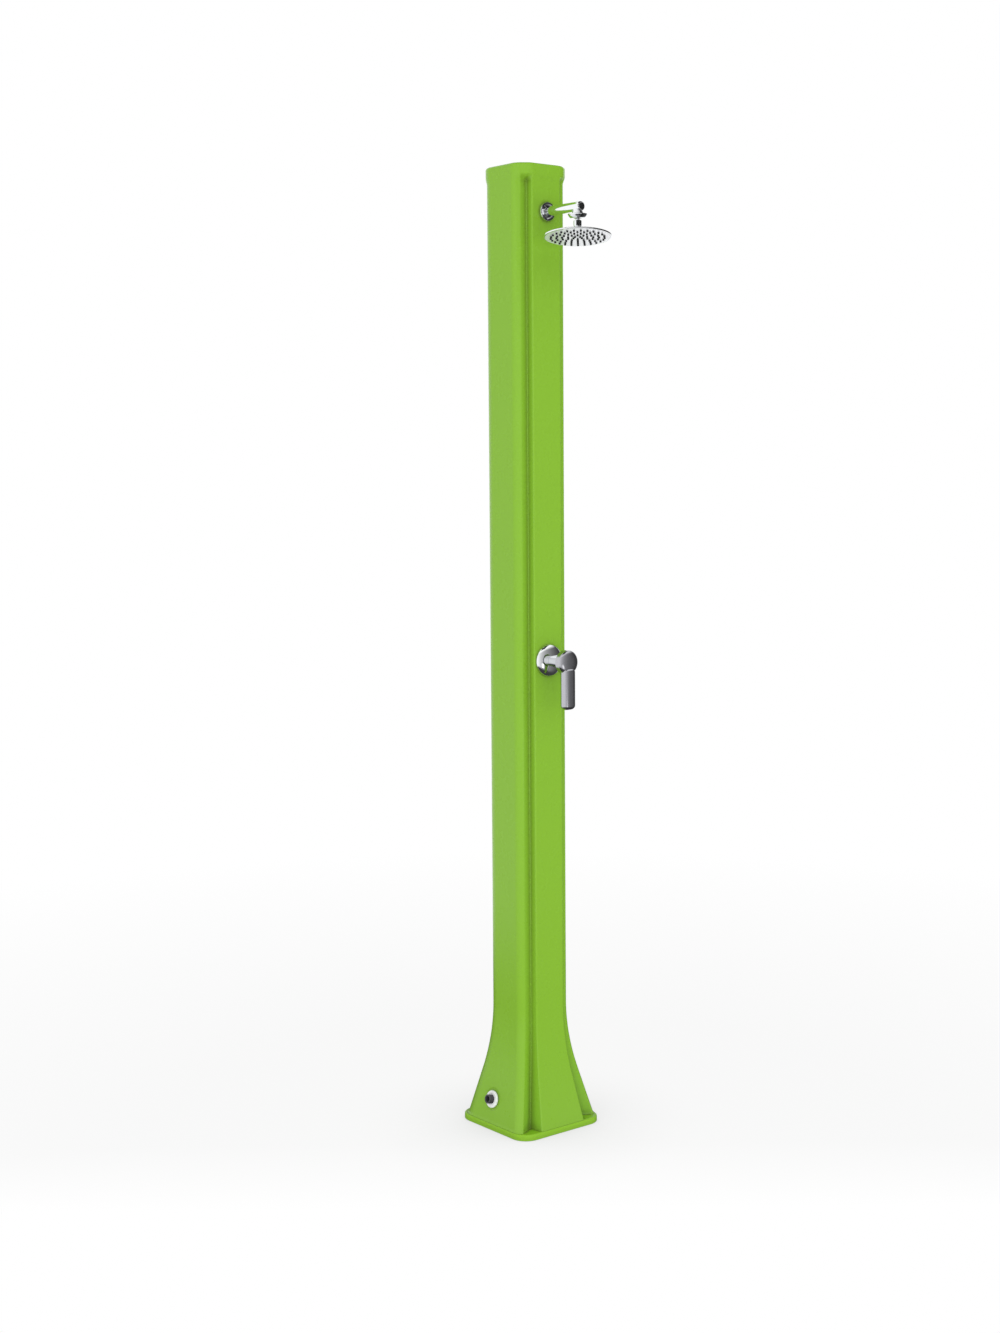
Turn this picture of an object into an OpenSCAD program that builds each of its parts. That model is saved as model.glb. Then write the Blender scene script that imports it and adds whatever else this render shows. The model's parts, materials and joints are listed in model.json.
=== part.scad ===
// Outdoor shower post. A hollow moulded column stands on a square base plate and
// stores the water. It carries a side inlet near the foot, a single lever mixer at
// waist height and a tilting rain head on a short arm near the crown.
// The origin is the middle of the base plate's underside. Front is -Y and up is +Z.

/* [Column] */
// Height from the underside of the base plate to the top of the crown
post_h = 2200; // [2150:10:2300]
// Width of the straight column, the same side to side and front to back
col_w = 146; // [142:1:152]
// Wall of the moulded column
wall = 4; // [3:0.5:5]
// Radius of the two back corners of the column
back_r = 41; // [34:1:46]
// Radius of the two front corners, outside the grooves
front_r = 21; // [18:1:24]
// Width of the flat front panel between the two grooves
panel_w = 81; // [76:1:84]
// Depth of the grooves beside the front panel
groove_depth = 18; // [16:1:22]
// Sideways lean of the groove's inner wall, from the panel's edge to the groove's floor
groove_lean = 2; // [1:0.5:5]
// How far the front corners stand back from the front panel
shoulder_back = 17; // [15:1:18]

/* [Foot] */
// Width of the flared foot where it meets the base plate
foot_w = 236; // [226:1:238]
// Height of the flare above the base plate
flare_h = 271; // [250:1:300]
// Radius of the foot's two back corners
foot_back_r = 48; // [44:1:60]
// Width of the front panel at the foot
foot_panel_w = 127; // [116:1:134]
// Depth of the grooves at the foot
foot_groove_depth = 36; // [28:1:38]
// Sideways lean of the groove's inner wall at the foot
foot_groove_lean = 7; // [4:0.5:9]
// Small outward lip round the very bottom of the foot
foot_lip = 1.5; // [0.5:0.5:2.5]
// Height of that lip
foot_lip_h = 6; // [4:1:10]

/* [Crown] */
// How far the crown stands out from the column on every side
crown_out = 2; // [1:0.5:5]
// Height of the crown, without the taper below it
crown_h = 22; // [18:1:30]
// Height of the taper that leads from the column to the crown
crown_taper_h = 17; // [12:1:24]
// Rounding of the crown's top edge
crown_edge_r = 6; // [4:0.5:8]

/* [Base plate] */
// Width of the base plate
plate_w = 244; // [240:1:260]
// Thickness of the base plate
plate_t = 15; // [14:1:20]
// Radius of the base plate's corners
plate_corner_r = 39; // [34:1:44]
// Rounding of the base plate's upper edge
plate_edge_r = 4; // [2:0.5:5]
// Distance between the ground anchor inserts, both ways
anchor_spacing = 180; // [170:1:186]
// Radius of the threaded hole in an anchor insert
anchor_hole_r = 4.25; // [3.4:0.05:5.1]
// Outer radius of an anchor insert
anchor_r = 7; // [6:0.5:8]
// Length of an anchor insert
anchor_h = 12; // [10:0.5:13]
// Distance between the screws that hold the column to the base plate, both ways
base_screw_spacing = 116; // [106:1:122]
// Shank radius of those screws
base_screw_r = 3; // [2.5:0.25:3.5]
// Head radius of those screws
base_screw_head_r = 6; // [5:0.25:7]
// Length of those screws
base_screw_len = 32; // [28:1:34]
// Radius of the moulded boss that each screw bites into
boss_r = 10; // [8:0.5:12]
// Height of the bosses above the floor of the tank
boss_h = 20; // [19:1:26]

/* [Water inlet] */
// Height of the inlet's centre on the left face
inlet_up = 67.5; // [60:0.5:80]
// Distance of the inlet behind the middle of the post
inlet_back = 11; // [0:1:16]
// Outer radius of the inlet's pipe thread
inlet_r = 10.45; // [10.3:0.05:10.6]
// Bore radius of the inlet nipple
inlet_bore_r = 7; // [6:0.25:8]
// How far the nipple stands out from the face of the foot
inlet_out = 16; // [14:0.5:20]
// Radius of the inlet's cover disc
rosette_r = 20; // [18:0.5:22]
// Thickness of the inlet's cover disc
rosette_t = 4.5; // [3:0.5:6]
// Radius of the shallow seat moulded round the inlet
inlet_seat_r = 26; // [24:0.5:28]
// Depth of that seat
inlet_seat_depth = 1.2; // [0.8:0.1:1.8]

/* [Mixer] */
// Height of the mixer's axis
mixer_up = 1094; // [1000:1:1200]
// Radius of the domed wall cover
dome_r = 36.7; // [34:0.1:38]
// How far the domed cover stands out from the panel
dome_h = 15.5; // [13:0.5:18]
// Sheet thickness of the domed cover
dome_t = 1.6; // [1:0.2:2.4]
// Radius of the mixer's neck where it leaves the dome
neck_r = 12.5; // [12:0.5:13.5]
// Radius of the mixer's mouth, under the handle
mouth_r = 22.5; // [21.5:0.1:22.8]
// Distance from the panel to the rim of the mouth
mouth_out = 57.5; // [57:0.1:58.5]
// Radius of the mixer's threaded shank behind the panel
shank_r = 16; // [15.8:0.1:17]
// Length of the shank behind the panel's face
shank_in = 34; // [30:1:38]
// Radius of the round handle hub
hub_r = 27.5; // [26:0.1:28]
// Distance from the panel to the front of the handle hub
hub_out = 77.5; // [77:0.1:79]
// Distance from the panel to the pivot that the lever tilts on
pivot_out = 50; // [49.5:0.1:50.5]
// Radius of the ball-shaped hollow under the hub
hub_hollow_r = 24.8; // [24.3:0.1:25]
// Width of the lever
lever_w = 34; // [28:0.5:35]
// Thickness of the lever, front to back
lever_t = 24; // [20.5:0.5:25]
// Distance from the mixer's axis to the lever's tip
lever_len = 107; // [95:1:120]
// Rounding of the lever's edges and tip
lever_r = 8; // [6:0.5:10]

/* [Cartridge] */
// Outer radius of the cartridge
cart_r = 12.4; // [12.2:0.05:12.5]
// Radius of the bore that the cartridge's turning core runs in
core_bore_r = 10; // [9.8:0.05:10.1]
// Running clearance between the core and its bore
running_gap = 0.05; // [0.02:0.01:0.09]
// Thickness of each ceramic disc
disc_t = 3; // [2.5:0.1:3.2]
// Radius of the pivot pin
pin_r = 1.5; // [1.2:0.1:1.8]
// Width of the square end of the spindle
spindle_w = 7; // [6:0.1:7.4]

/* [Arm] */
// Height of the shower arm's axis
arm_up = 2095.6; // [2050:0.1:2120]
// Radius of the arm's pipe
arm_r = 10.65; // [10.5:0.05:10.8]
// Bore radius of the arm's pipe
arm_bore_r = 8; // [7:0.1:8.4]
// Distance from the panel to the arm's domed end
arm_out = 120; // [118:0.5:130]
// Distance from the panel to the axis of the arm's outlet
outlet_out = 106; // [100:0.5:108]
// Radius of the round cover at the arm's root
flange_r = 20.8; // [20:0.1:24]
// How far that cover stands out from the panel
flange_out = 7; // [6.5:0.5:11]

/* [Swivel] */
// Distance from the arm's axis down to the middle of the ball
ball_drop = 19.1; // [18.9:0.1:19.5]
// Radius of the ball
ball_r = 9; // [8.8:0.1:9]
// Radius of the neck below the ball
stem_r = 4.5; // [4:0.1:4.6]
// Radius of the wide collar round the ball
collar_r = 21.2; // [20:0.1:24]
// Radius of the nut above the head
nut_r = 8.9; // [8.5:0.1:9.5]

/* [Rain head] */
// Radius of the rain head
head_r = 75; // [70:0.5:80]
// Distance from the middle of the ball to the underside of the head
head_drop = 48.5; // [46:0.5:50]
// Thickness of the head at its rim
rim_t = 3.4; // [3.4:0.1:8]
// Sheet thickness of the head's two shells
head_wall = 1.5; // [1.2:0.1:1.8]
// Thickness of the nozzle mat
mat_t = 1.5; // [1.2:0.1:1.5]
// Radius of one nozzle
nozzle_r = 2.2; // [1.6:0.05:2.3]
// How far the nozzles stand out of the face
nozzle_out = 2.6; // [1.4:0.1:2.8]
// Lean of the head away from level
head_tilt = 8.5; // [0:0.5:9]
// Compass direction that the head's face leans to, from +X towards +Y
head_tilt_to = 229; // [0:1:359]

/* [Hidden] */

$fn = 64;
// Overrun of every cut past the face that it opens
over = 1;
// Clearance between a thread and its nut, and round every other fixed fit
fit_gap = 0.1;
// Clearance between a hose's end and the shoulder that it is pushed up to
seat_gap = 0.2;
// Clearance of a pipe in the hole through the column's wall
hole_gap = 0.6;

col_half = col_w / 2;
foot_half = foot_w / 2;
inner_top = post_h - wall;
floor_up = plate_t + wall;
flare_top = plate_t + flare_h;
crown_low = post_h - crown_h;
taper_low = crown_low - crown_taper_h;

// Angle round a front corner at which the groove begins
apex_deg = 66;
// Part of that angle which the soft apex takes
apex_soft_deg = 8;
// Softening of the panel's edge, the groove's floor and the corner's apex
edge_soft = 3;
groove_soft = 3;
apex_soft = 2;
// Part of the flare's height, from its top, over which it curves; the rest is straight
flare_curve_share = 0.6;

// Lean of the straight part of the flare, and so of the water inlet
flare_slope = (foot_half - col_half) / flare_h / (1 - flare_curve_share / 2);
flare_lean = atan(flare_slope);

// Plain helpers for blending and directions
function lerp(a, b, t) = a + (b - a) * t;
function smooth(t) = t * t * (3 - 2 * t);
function unit(v) = v / norm(v);
function arc_pts(c, r, a0, a1, n) =
    [for (i = [0:n]) let (a = lerp(a0, a1, i / n)) c + r * [cos(a), sin(a)]];
function soft_corner(p, a, b, d, n) =
    let (s = p + d * unit(a - p), e = p + d * unit(b - p))
    [for (i = [0:n]) let (t = i / n) (1 - t) * (1 - t) * s + 2 * t * (1 - t) * p + t * t * e];

// Share of the flare's full width at a share t of its height, counted from its top
function flare_share(t) =
    let (c = flare_curve_share, full = 1 - c / 2)
    t <= 0 ? 0 : (t < c ? t * t / (2 * c) : t - c / 2) / full;
function flare_at(z) = flare_share((flare_top - z) / flare_h);
function half_at(z) = lerp(col_half, foot_half, flare_at(z));

// Right half of the column's plan section, from the front panel round to the back.
// h is half the width, b blends from column to foot, and off is an inward offset.
function half_section(h, b, off) =
    let (
        hh = h - off,
        p = lerp(panel_w, foot_panel_w, b) / 2 - off,
        depth = lerp(groove_depth, foot_groove_depth, b),
        lean = lerp(groove_lean, foot_groove_lean, b),
        fr = front_r - off,
        br = lerp(back_r, foot_back_r, b) - off,
        edge = [p, -hh],
        low = [p + lean, depth - hh],
        cc = [hh - fr, shoulder_back + fr * sin(apex_deg) - hh],
        apex = cc + fr * [cos(apex_deg), -sin(apex_deg)],
        after = apex_deg - apex_soft_deg
    )
    concat(
        soft_corner(edge, [0, -hh], low, edge_soft, 3),
        soft_corner(low, edge, apex, groove_soft, 3),
        soft_corner(apex, low, cc + fr * [cos(after), -sin(after)], apex_soft, 2),
        arc_pts(cc, fr, -after, 0, 5),
        arc_pts([hh - br, hh - br], br, 0, 90, 8)
    );

// The same point on a section without grooves, whose corners all have the back radius
function plain_point(q, hh, r) =
    let (c = [hh - r, r - hh])
    q.y > c.y ? q : q.x <= c.x ? [q.x, -hh] : c + r * unit(q - c);

// One closed ring of the column. w runs from 0, grooved, to 1, plain.
function ring(z, h, b, w, off) =
    let (
        r = lerp(back_r, foot_back_r, b) - off,
        half = [for (q = half_section(h, b, off)) lerp(q, plain_point(q, h - off, r), w)],
        n = len(half)
    )
    concat(
        [for (q = half) [q.x, q.y, z]],
        [for (i = [n - 1:-1:0]) [-half[i].x, half[i].y, z]]
    );

// Heights, as shares of the taper, at which the grooves run out under the crown
taper_shares = [0, 0.2, 0.4, 0.6, 0.8, 1];
// Heights, as shares of the lip, of the small fillet at the bottom of the foot
lip_shares = [0, 0.3, 0.65];
flare_steps = 12;
inner_flare_steps = 8;
crown_steps = 4;

function taper_ring(t, off) =
    ring(lerp(taper_low, crown_low, t), col_half + crown_out * smooth(t), 0, smooth(t), off);

outer_rings = concat(
    [for (s = lip_shares) let (z = plate_t + s * foot_lip_h)
        ring(z, half_at(z) + foot_lip * (1 - s) * (1 - s), flare_at(z), 0, 0)],
    [for (i = [0:flare_steps]) let (z = lerp(plate_t + foot_lip_h, flare_top, i / flare_steps))
        ring(z, half_at(z), flare_at(z), 0, 0)],
    [for (t = taper_shares) taper_ring(t, 0)],
    [for (i = [0:crown_steps]) let (a = 90 * i / crown_steps, in = crown_edge_r * (1 - cos(a)))
        ring(post_h - crown_edge_r * (1 - sin(a)), col_half + crown_out, 0, 1, in)]
);
inner_rings = concat(
    [for (i = [0:inner_flare_steps]) let (z = lerp(floor_up, flare_top, i / inner_flare_steps))
        ring(z, half_at(z), flare_at(z), 0, wall)],
    [for (t = taper_shares) taper_ring(t, wall)],
    [ring(inner_top, col_half + crown_out, 0, 1, wall)]
);

// Hoses inside the column, and the barbed tails that they are pushed over
hose_r = 7;
hose_bore_r = 5.2;
hose_bend_r = 30;
hose_sides = 10;
hose_bend_steps = 5;
tail_r = 4.9;
tail_bore_r = 3.5;
tail_len = 16;
// Circle that the mixer's three tails stand on
tail_circle_r = 8.6;
// Angles of the mixed, hot and cold ways through the mixer, seen from the front
mixed_deg = 90;
hot_deg = -30;
cold_deg = 210;
way_degs = [mixed_deg, hot_deg, cold_deg];

// Threads are plain, and a tail with one is this much thinner than its pipe
thread_step = 0.35;

// Nuts inside the column stand this far off the wall
nut_gap = 0.3;
nut_t = 9;

// Base plate, its screws and its anchor inserts
plate_steps = 4;
plate_bevel = 1.5;
base_screw_low = 2;
base_screw_head_h = 4;
base_screw_key = 5;
base_screw_key_deep = 2.5;
pilot_top = base_screw_low + base_screw_len + over;
anchor_floor = 2;

// Water inlet
inlet_gasket_t = 1.5;
inlet_gasket_top = inlet_gasket_t - inlet_seat_depth;
rosette_top = inlet_gasket_top + rosette_t;
rosette_lid_t = 1.5;
inlet_nut_flats = 30;
inlet_tail = 34;
inlet_tail_r = inlet_r - thread_step;
inlet_collar_r = inlet_r + 2 * rosette_lid_t;
// The tee feeds the tank through its open end and the cold hose through its upper leg
tee_wall = 4;
tee_top = -wall - 2 * nut_gap - nut_t;
tee_len = 38;
tee_r = inlet_tail_r + tee_wall;
tee_leg_r = 7.4;
tee_leg = 24;
tee_leg_at = tee_top - tee_len + tee_r;

// Mixer body, its gasket and its nut
mixer_gasket_t = 1.6;
mixer_flange_t = 3.4;
mixer_flange_r = 21;
mixer_flange_out = mixer_gasket_t + mixer_flange_t;
mixer_nut_flats = 44;
waterway_r = 3.2;
waterway_circle_r = 6.6;
neck_steps = 10;
dome_edge = 2;
dome_steps = 12;
dome_hole_r = neck_r + 0.2 * dome_edge;

// Cartridge: floor, two ceramic discs, turning core and retaining nut
cart_len = 16;
cart_low = pivot_out - cart_len;
// Tilt of the lever from shut to full flow
lift_deg = 22;
cart_floor = 1;
disc_gap = 0.1;
disc_low = cart_low + cart_floor + disc_t + disc_gap;
core_r = core_bore_r - running_gap;
core_neck_r = 7.5;
core_low = disc_low + disc_t + disc_gap;
core_lid = 2;
core_rise = 3;
core_shoulder = pivot_out - core_lid;
core_top = pivot_out + core_rise;
port_r = 2.6;
moving_disc_r = 7;
mouth_wall = 6;
mouth_bore_r = mouth_r - mouth_wall;
cart_nut_skirt = 6;
cart_nut_lid = 2;
mouth_deep = pivot_out - cart_nut_skirt;
pin_half = 7.2;
spindle_flat = 5;
spindle_low = core_low + fit_gap;
spindle_neck = pivot_out + (core_rise + seat_gap + spindle_w / 2 * sin(lift_deg)) / cos(lift_deg);
slot_w = spindle_flat + 2 * fit_gap;
slot_len = 12.5;

// Handle
hub_rise = 6;
hub_low = pivot_out + hub_rise;
hub_edge = 0.6;
hub_dome_h = 9.5;
hub_roundness = 0.8;
hub_steps = 10;
socket_r = 7.8;
socket_rise = 11;
socket_low = pivot_out + socket_rise;
socket_sink = 2;
spindle_sink = 9;
spindle_top = hub_out - spindle_sink;
handle_screw_r = 2.5;
edge_inset = 0.5;
handle_screw_key = 2.5;
handle_screw_out = socket_low + handle_screw_r + edge_inset;
lever_sink = 9.9;
lever_out = hub_out - lever_sink;
lever_top = -12;
lever_facets = 32;

// Arm, with its gasket, nut, elbow and cover
arm_tail_r = arm_r - thread_step;
arm_tail = 30;
arm_gasket_t = 1.6;
arm_shoulder_r = 15;
arm_shoulder_t = 3;
arm_nut_flats = 30;
elbow_leg_at = 31;
elbow_r = 13;
elbow_wall = 4;
elbow_near = wall + 2 * nut_gap + nut_t;
elbow_far = 41;
elbow_leg_r = 7.4;
elbow_drop = 24;
outlet_r = 10.2;
outlet_low = 14.1;
outlet_bore_r = 7;
arm_dome_h = 7;
flange_gap = 0.2;
flange_low = arm_gasket_t + arm_shoulder_t + flange_gap;
flange_lip_share = 1 / 3;
flange_dish_share = 1 / 5;
flange_steps = 6;

// Ball joint: seat ring, seal and collar
seat_t = 1.4;
seat_in_r = ball_r + running_gap;
seat_out_r = seat_in_r + seat_t;
socket_sphere_r = seat_out_r + running_gap;
seat_high_deg = 6;
seat_low_deg = 36;
seat_steps = 12;
seal_r = 0.9;
seal_seat_r = 9;
seal_seat_h = 2.6;
seal_circle_r = seal_seat_r - seal_r - fit_gap;
seal_up = sqrt(pow(ball_r + seal_r + fit_gap, 2) - pow(seal_circle_r, 2));
collar_low = 6.4;
collar_hole_r = 8.7;
collar_bore_r = outlet_r + fit_gap;
collar_top = 8;
collar_neck_r = 11.8;
collar_edge_t = 2.4;
collar_edge_soft = 0.8;
collar_rim_up = 2.2;
collar_bowl_power = 2.5;
collar_steps = 8;

// Stem, washer and nut
stem_flange_r = 6.8;
stem_flange_at = 13;
stem_flange_t = 3;
stem_bore_r = 2.5;
nut_top = 11.5;
nut_low = 25.5;
nut_bevel = 1;
washer_t = 1.5;
washer_low = stem_flange_at + stem_flange_t + fit_gap + washer_t;

// Rain head
spigot_r = 6.6;
spigot_top = washer_low + fit_gap;
back_hub_r = 14;
back_top = nut_low + seat_gap;
back_steps = 10;
back_curve = 1.5;
rim_round = 1.8;
rim_low_round = 1.2;
rim_top = head_drop - rim_t;
rim_steps = 4;
plate_seat = 9;
skirt_t = 3.2;
plate_gap = 0.3;
mat_low = head_drop - head_wall;
chamber_top = mat_low - mat_t - plate_gap - fit_gap;
chamber_cone_r = 58;
chamber_cone_wall = 4;
chamber_cone_top = nut_low + chamber_cone_wall;
// Rings of nozzles: radius as a share of the head's radius, and the number in each ring
nozzle_ring_shares = [0.785, 0.62, 0.455, 0.29, 0.125];
nozzle_counts = [25, 20, 15, 10, 5];
// Compass direction of the first nozzle of every ring, from +X towards +Y
nozzle_start_deg = 48;

// Places and directions that the frames below use
inlet_pos = [-half_at(inlet_up), inlet_back, inlet_up];
inlet_dir = [-cos(flare_lean), 0, sin(flare_lean)];
inlet_rise = [sin(flare_lean), 0, cos(flare_lean)];
ball_pos = [0, -col_half - outlet_out, arm_up - ball_drop];

// Turning points of the hoses
hose_start = seat_gap + shank_in - col_half;
mixed_back = hose_start + tail_len + hose_bend_r;
hot_back = mixed_back + hose_bend_r;
cold_start = inlet_pos + inlet_dir * tee_leg_at + inlet_rise * (tee_leg + seat_gap);
// Length of the cold hose's first stretch, along the leaning side of the foot
cold_first = 95;
cold_turn = cold_start + inlet_rise * cold_first;
cold_low = flare_top + hose_bend_r;
cold_high = cold_low + 4 * hose_bend_r;
mixed_high = arm_up - 3 * hose_bend_r;
mixed_low = mixed_high - 3 * hose_bend_r;
elbow_tail_low = arm_up - elbow_drop - seat_gap;
elbow_back = elbow_leg_at - col_half;
hot_top_gap = 45;

// Closed solid through a stack of rings that all have the same number of points
module loft(rings) {
    n = len(rings[0]);
    m = len(rings);
    low_mid = n * m;
    polyhedron(
        points = concat(
            [for (r = rings) each r],
            [[0, 0, rings[0][0].z], [0, 0, rings[m - 1][0].z]]
        ),
        faces = concat(
            [for (i = [0:n - 1]) [i, (i + 1) % n, low_mid]],
            [for (k = [0:m - 2], i = [0:n - 1])
                let (a = k * n + i, b = k * n + (i + 1) % n)
                each [[a, a + n, b + n], [a, b + n, b]]],
            [for (i = [0:n - 1]) let (t = (m - 1) * n) [t + (i + 1) % n, t + i, low_mid + 1]]
        )
    );
}

// A rod along the z axis from z0 to z1, the same with a bore, and a hexagon bar
module rod(r, z0, z1) {
    translate([0, 0, z0]) cylinder(r = r, h = z1 - z0);
}
module tube(r_out, r_in, z0, z1) {
    difference() {
        rod(r_out, z0, z1);
        rod(r_in, z0 - over, z1 + over);
    }
}
module hex_bar(flats, z0, z1) {
    translate([0, 0, z0]) cylinder(r = flats / 2 / cos(30), h = z1 - z0, $fn = 6);
}
module hex_nut(flats, bore_r, z0, z1) {
    difference() {
        hex_bar(flats, z0, z1);
        rod(bore_r, z0 - over, z1 + over);
    }
}
// Copies at the corners of a square, and at the three ways through the mixer
module at_corners(spacing) {
    for (x = [-1, 1], y = [-1, 1]) translate([x * spacing / 2, y * spacing / 2, 0]) children();
}
module at_ways(circle_r) {
    for (deg = way_degs) translate(circle_r * [cos(deg), sin(deg), 0]) children();
}
// Turns the z axis to point along x, or along -y
module along_x() {
    rotate([0, 90, 0]) children();
}
module along_front() {
    rotate([90, 0, 0]) children();
}

// Frames of the fittings: z runs straight out of the face that each one sits on
module at_mixer() {
    translate([0, -col_half, mixer_up]) along_front() children();
}
module at_arm() {
    translate([0, -col_half, arm_up]) along_front() children();
}
module at_inlet() {
    translate(inlet_pos) rotate([0, flare_lean - 90, 0]) children();
}
module at_ball() {
    translate(ball_pos) children();
}
// The head's own frame: z runs up the stem, from the middle of the ball
module at_head() {
    translate(ball_pos)
        rotate(a = head_tilt, v = [sin(head_tilt_to), -cos(head_tilt_to), 0])
        children();
}

// Route of a hose: places and directions along straight runs joined by round bends
function heading(pts, i) = unit(pts[i + 1] - pts[i]);
function bend_route(p, u, v) =
    let (
        turn = acos(u * v),
        in = unit(v - u * (u * v)),
        o = p + hose_bend_r * (in - u * tan(turn / 2))
    )
    [for (k = [0:hose_bend_steps]) let (a = turn * k / hose_bend_steps)
        [o + hose_bend_r * (u * sin(a) - in * cos(a)), u * cos(a) + in * sin(a)]];
function hose_route(pts) =
    let (last = len(pts) - 1)
    concat(
        [[pts[0], heading(pts, 0)]],
        [for (i = [1:last - 1]) each bend_route(pts[i], heading(pts, i - 1), heading(pts, i))],
        [[pts[last], heading(pts, last - 1)]]
    );
function hose_ring(place, dir, r) =
    let (x = unit(cross([1, 0, 0], dir)), y = cross(dir, x))
    [for (i = [0:hose_sides - 1]) let (a = 360 * i / hose_sides) place + r * (x * cos(a) + y * sin(a))];
// Hollow hose as one closed skin: outside, then bore, joined by a rim at both ends
module hose(pts) {
    route = hose_route(pts);
    n = hose_sides;
    m = len(route);
    inner = n * m;
    bore_r = hose_bore_r / cos(180 / n);
    polyhedron(
        points = concat(
            [for (q = route) each hose_ring(q[0], q[1], hose_r)],
            [for (q = route) each hose_ring(q[0], q[1], bore_r)]
        ),
        faces = concat(
            [for (k = [0:m - 2], i = [0:n - 1])
                let (a = k * n + i, b = k * n + (i + 1) % n)
                each [[a, a + n, b + n], [a, b + n, b]]],
            [for (k = [0:m - 2], i = [0:n - 1])
                let (a = inner + k * n + i, b = inner + k * n + (i + 1) % n)
                each [[a, b + n, a + n], [a, b, b + n]]],
            [for (i = [0:n - 1]) let (a = i, b = (i + 1) % n)
                each [[a, b, inner + b], [a, inner + b, inner + a]]],
            [for (i = [0:n - 1]) let (t = (m - 1) * n, a = t + i, b = t + (i + 1) % n)
                each [[a, inner + b, b], [a, inner + a, inner + b]]]
        )
    );
}

// Moulded column: grooved shell with a flared foot and a crown, hollow for the water
module tank_shell() {
    front_deep = -wall - groove_depth / 2;
    color("#88bd32")
    difference() {
        union() {
            difference() {
                loft(outer_rings);
                loft(inner_rings);
            }
            at_corners(base_screw_spacing) rod(boss_r, floor_up - wall / 2, floor_up + boss_h);
        }
        at_corners(base_screw_spacing) rod(base_screw_r + fit_gap, plate_t - over, pilot_top);
        at_mixer() rod(shank_r + hole_gap, front_deep, over);
        at_arm() rod(arm_tail_r + hole_gap, front_deep, over);
        at_inlet() rod(inlet_tail_r + hole_gap, -2 * wall, over);
        at_inlet() rod(inlet_seat_r, -inlet_seat_depth, over + foot_lip);
    }
}

// Square base plate with rounded corners, a soft upper edge and a small bevel below
function plate_ring(z, in) =
    let (h = plate_w / 2 - in, r = plate_corner_r - in)
    [for (k = [-1:2], q = arc_pts([h - r, h - r], r, 0, 90, 8))
        let (s = sin(90 * k), c = cos(90 * k)) [q.x * c - q.y * s, q.x * s + q.y * c, z]];
module base_plate() {
    rings = concat(
        [plate_ring(0, plate_bevel), plate_ring(plate_bevel, 0)],
        [for (i = [0:plate_steps]) let (a = 90 * i / plate_steps)
            plate_ring(plate_t - plate_edge_r * (1 - sin(a)), plate_edge_r * (1 - cos(a)))]
    );
    head_top = base_screw_low + base_screw_head_h + fit_gap;
    color("#82b42f")
    difference() {
        loft(rings);
        at_corners(anchor_spacing) rod(anchor_r + fit_gap, -over, anchor_h + fit_gap);
        at_corners(base_screw_spacing) rod(base_screw_r + fit_gap, -over, plate_t + over);
        at_corners(base_screw_spacing) rod(base_screw_head_r + fit_gap, -over, head_top);
    }
}
module base_screws() {
    color("#b9bcc0")
    at_corners(base_screw_spacing) difference() {
        union() {
            rod(base_screw_head_r, base_screw_low, base_screw_low + base_screw_head_h);
            rod(base_screw_r, base_screw_low, base_screw_low + base_screw_len);
        }
        hex_bar(base_screw_key, base_screw_low - over, base_screw_low + base_screw_key_deep);
    }
}
module anchor_inserts() {
    color("#c9a85a")
    at_corners(anchor_spacing) difference() {
        rod(anchor_r, 0, anchor_h);
        rod(anchor_hole_r, -over, anchor_h - anchor_floor);
    }
}

module inlet_nipple() {
    color("#4b4d50")
    at_inlet() difference() {
        union() {
            rod(inlet_tail_r, -inlet_tail, rosette_top);
            rod(inlet_r, rosette_top, inlet_out);
            rod(inlet_collar_r, inlet_gasket_top + fit_gap, rosette_top - rosette_lid_t - fit_gap);
        }
        rod(inlet_bore_r, -inlet_tail - over, inlet_out + over);
    }
}
module inlet_rosette() {
    edge_r = rosette_t / 2;
    color("#e8ebec")
    at_inlet() difference() {
        rotate_extrude() polygon(concat(
            [[0, inlet_gasket_top], [rosette_r, inlet_gasket_top]],
            arc_pts([rosette_r - edge_r, rosette_top - edge_r], edge_r, 0, 90, 6),
            [[0, rosette_top]]
        ));
        rod(inlet_r + fit_gap, inlet_gasket_top - over, rosette_top + over);
        rod(inlet_collar_r + fit_gap, inlet_gasket_top - over, rosette_top - rosette_lid_t);
    }
}
module inlet_gasket() {
    color("#222222")
    at_inlet() tube(rosette_r - edge_soft, inlet_tail_r + fit_gap, -inlet_seat_depth, inlet_gasket_top);
}
module inlet_locknut() {
    color("#c7a04a")
    at_inlet() hex_nut(inlet_nut_flats, inlet_tail_r + fit_gap, -wall - nut_gap - nut_t, -wall - nut_gap);
}
module inlet_tee() {
    color("#c7a04a")
    at_inlet() difference() {
        union() {
            rod(tee_r, tee_top - tee_len, tee_top);
            translate([0, 0, tee_leg_at]) along_x() rod(tee_leg_r, 0, tee_leg);
            translate([0, 0, tee_leg_at]) along_x() rod(tail_r, 0, tee_leg + tail_len);
        }
        rod(inlet_tail_r + fit_gap, -inlet_tail - fit_gap, tee_top + over);
        rod(inlet_bore_r, tee_top - tee_len - over, tee_top);
        translate([0, 0, tee_leg_at]) along_x() rod(tail_bore_r, 0, tee_leg + tail_len + over);
    }
}

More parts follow.
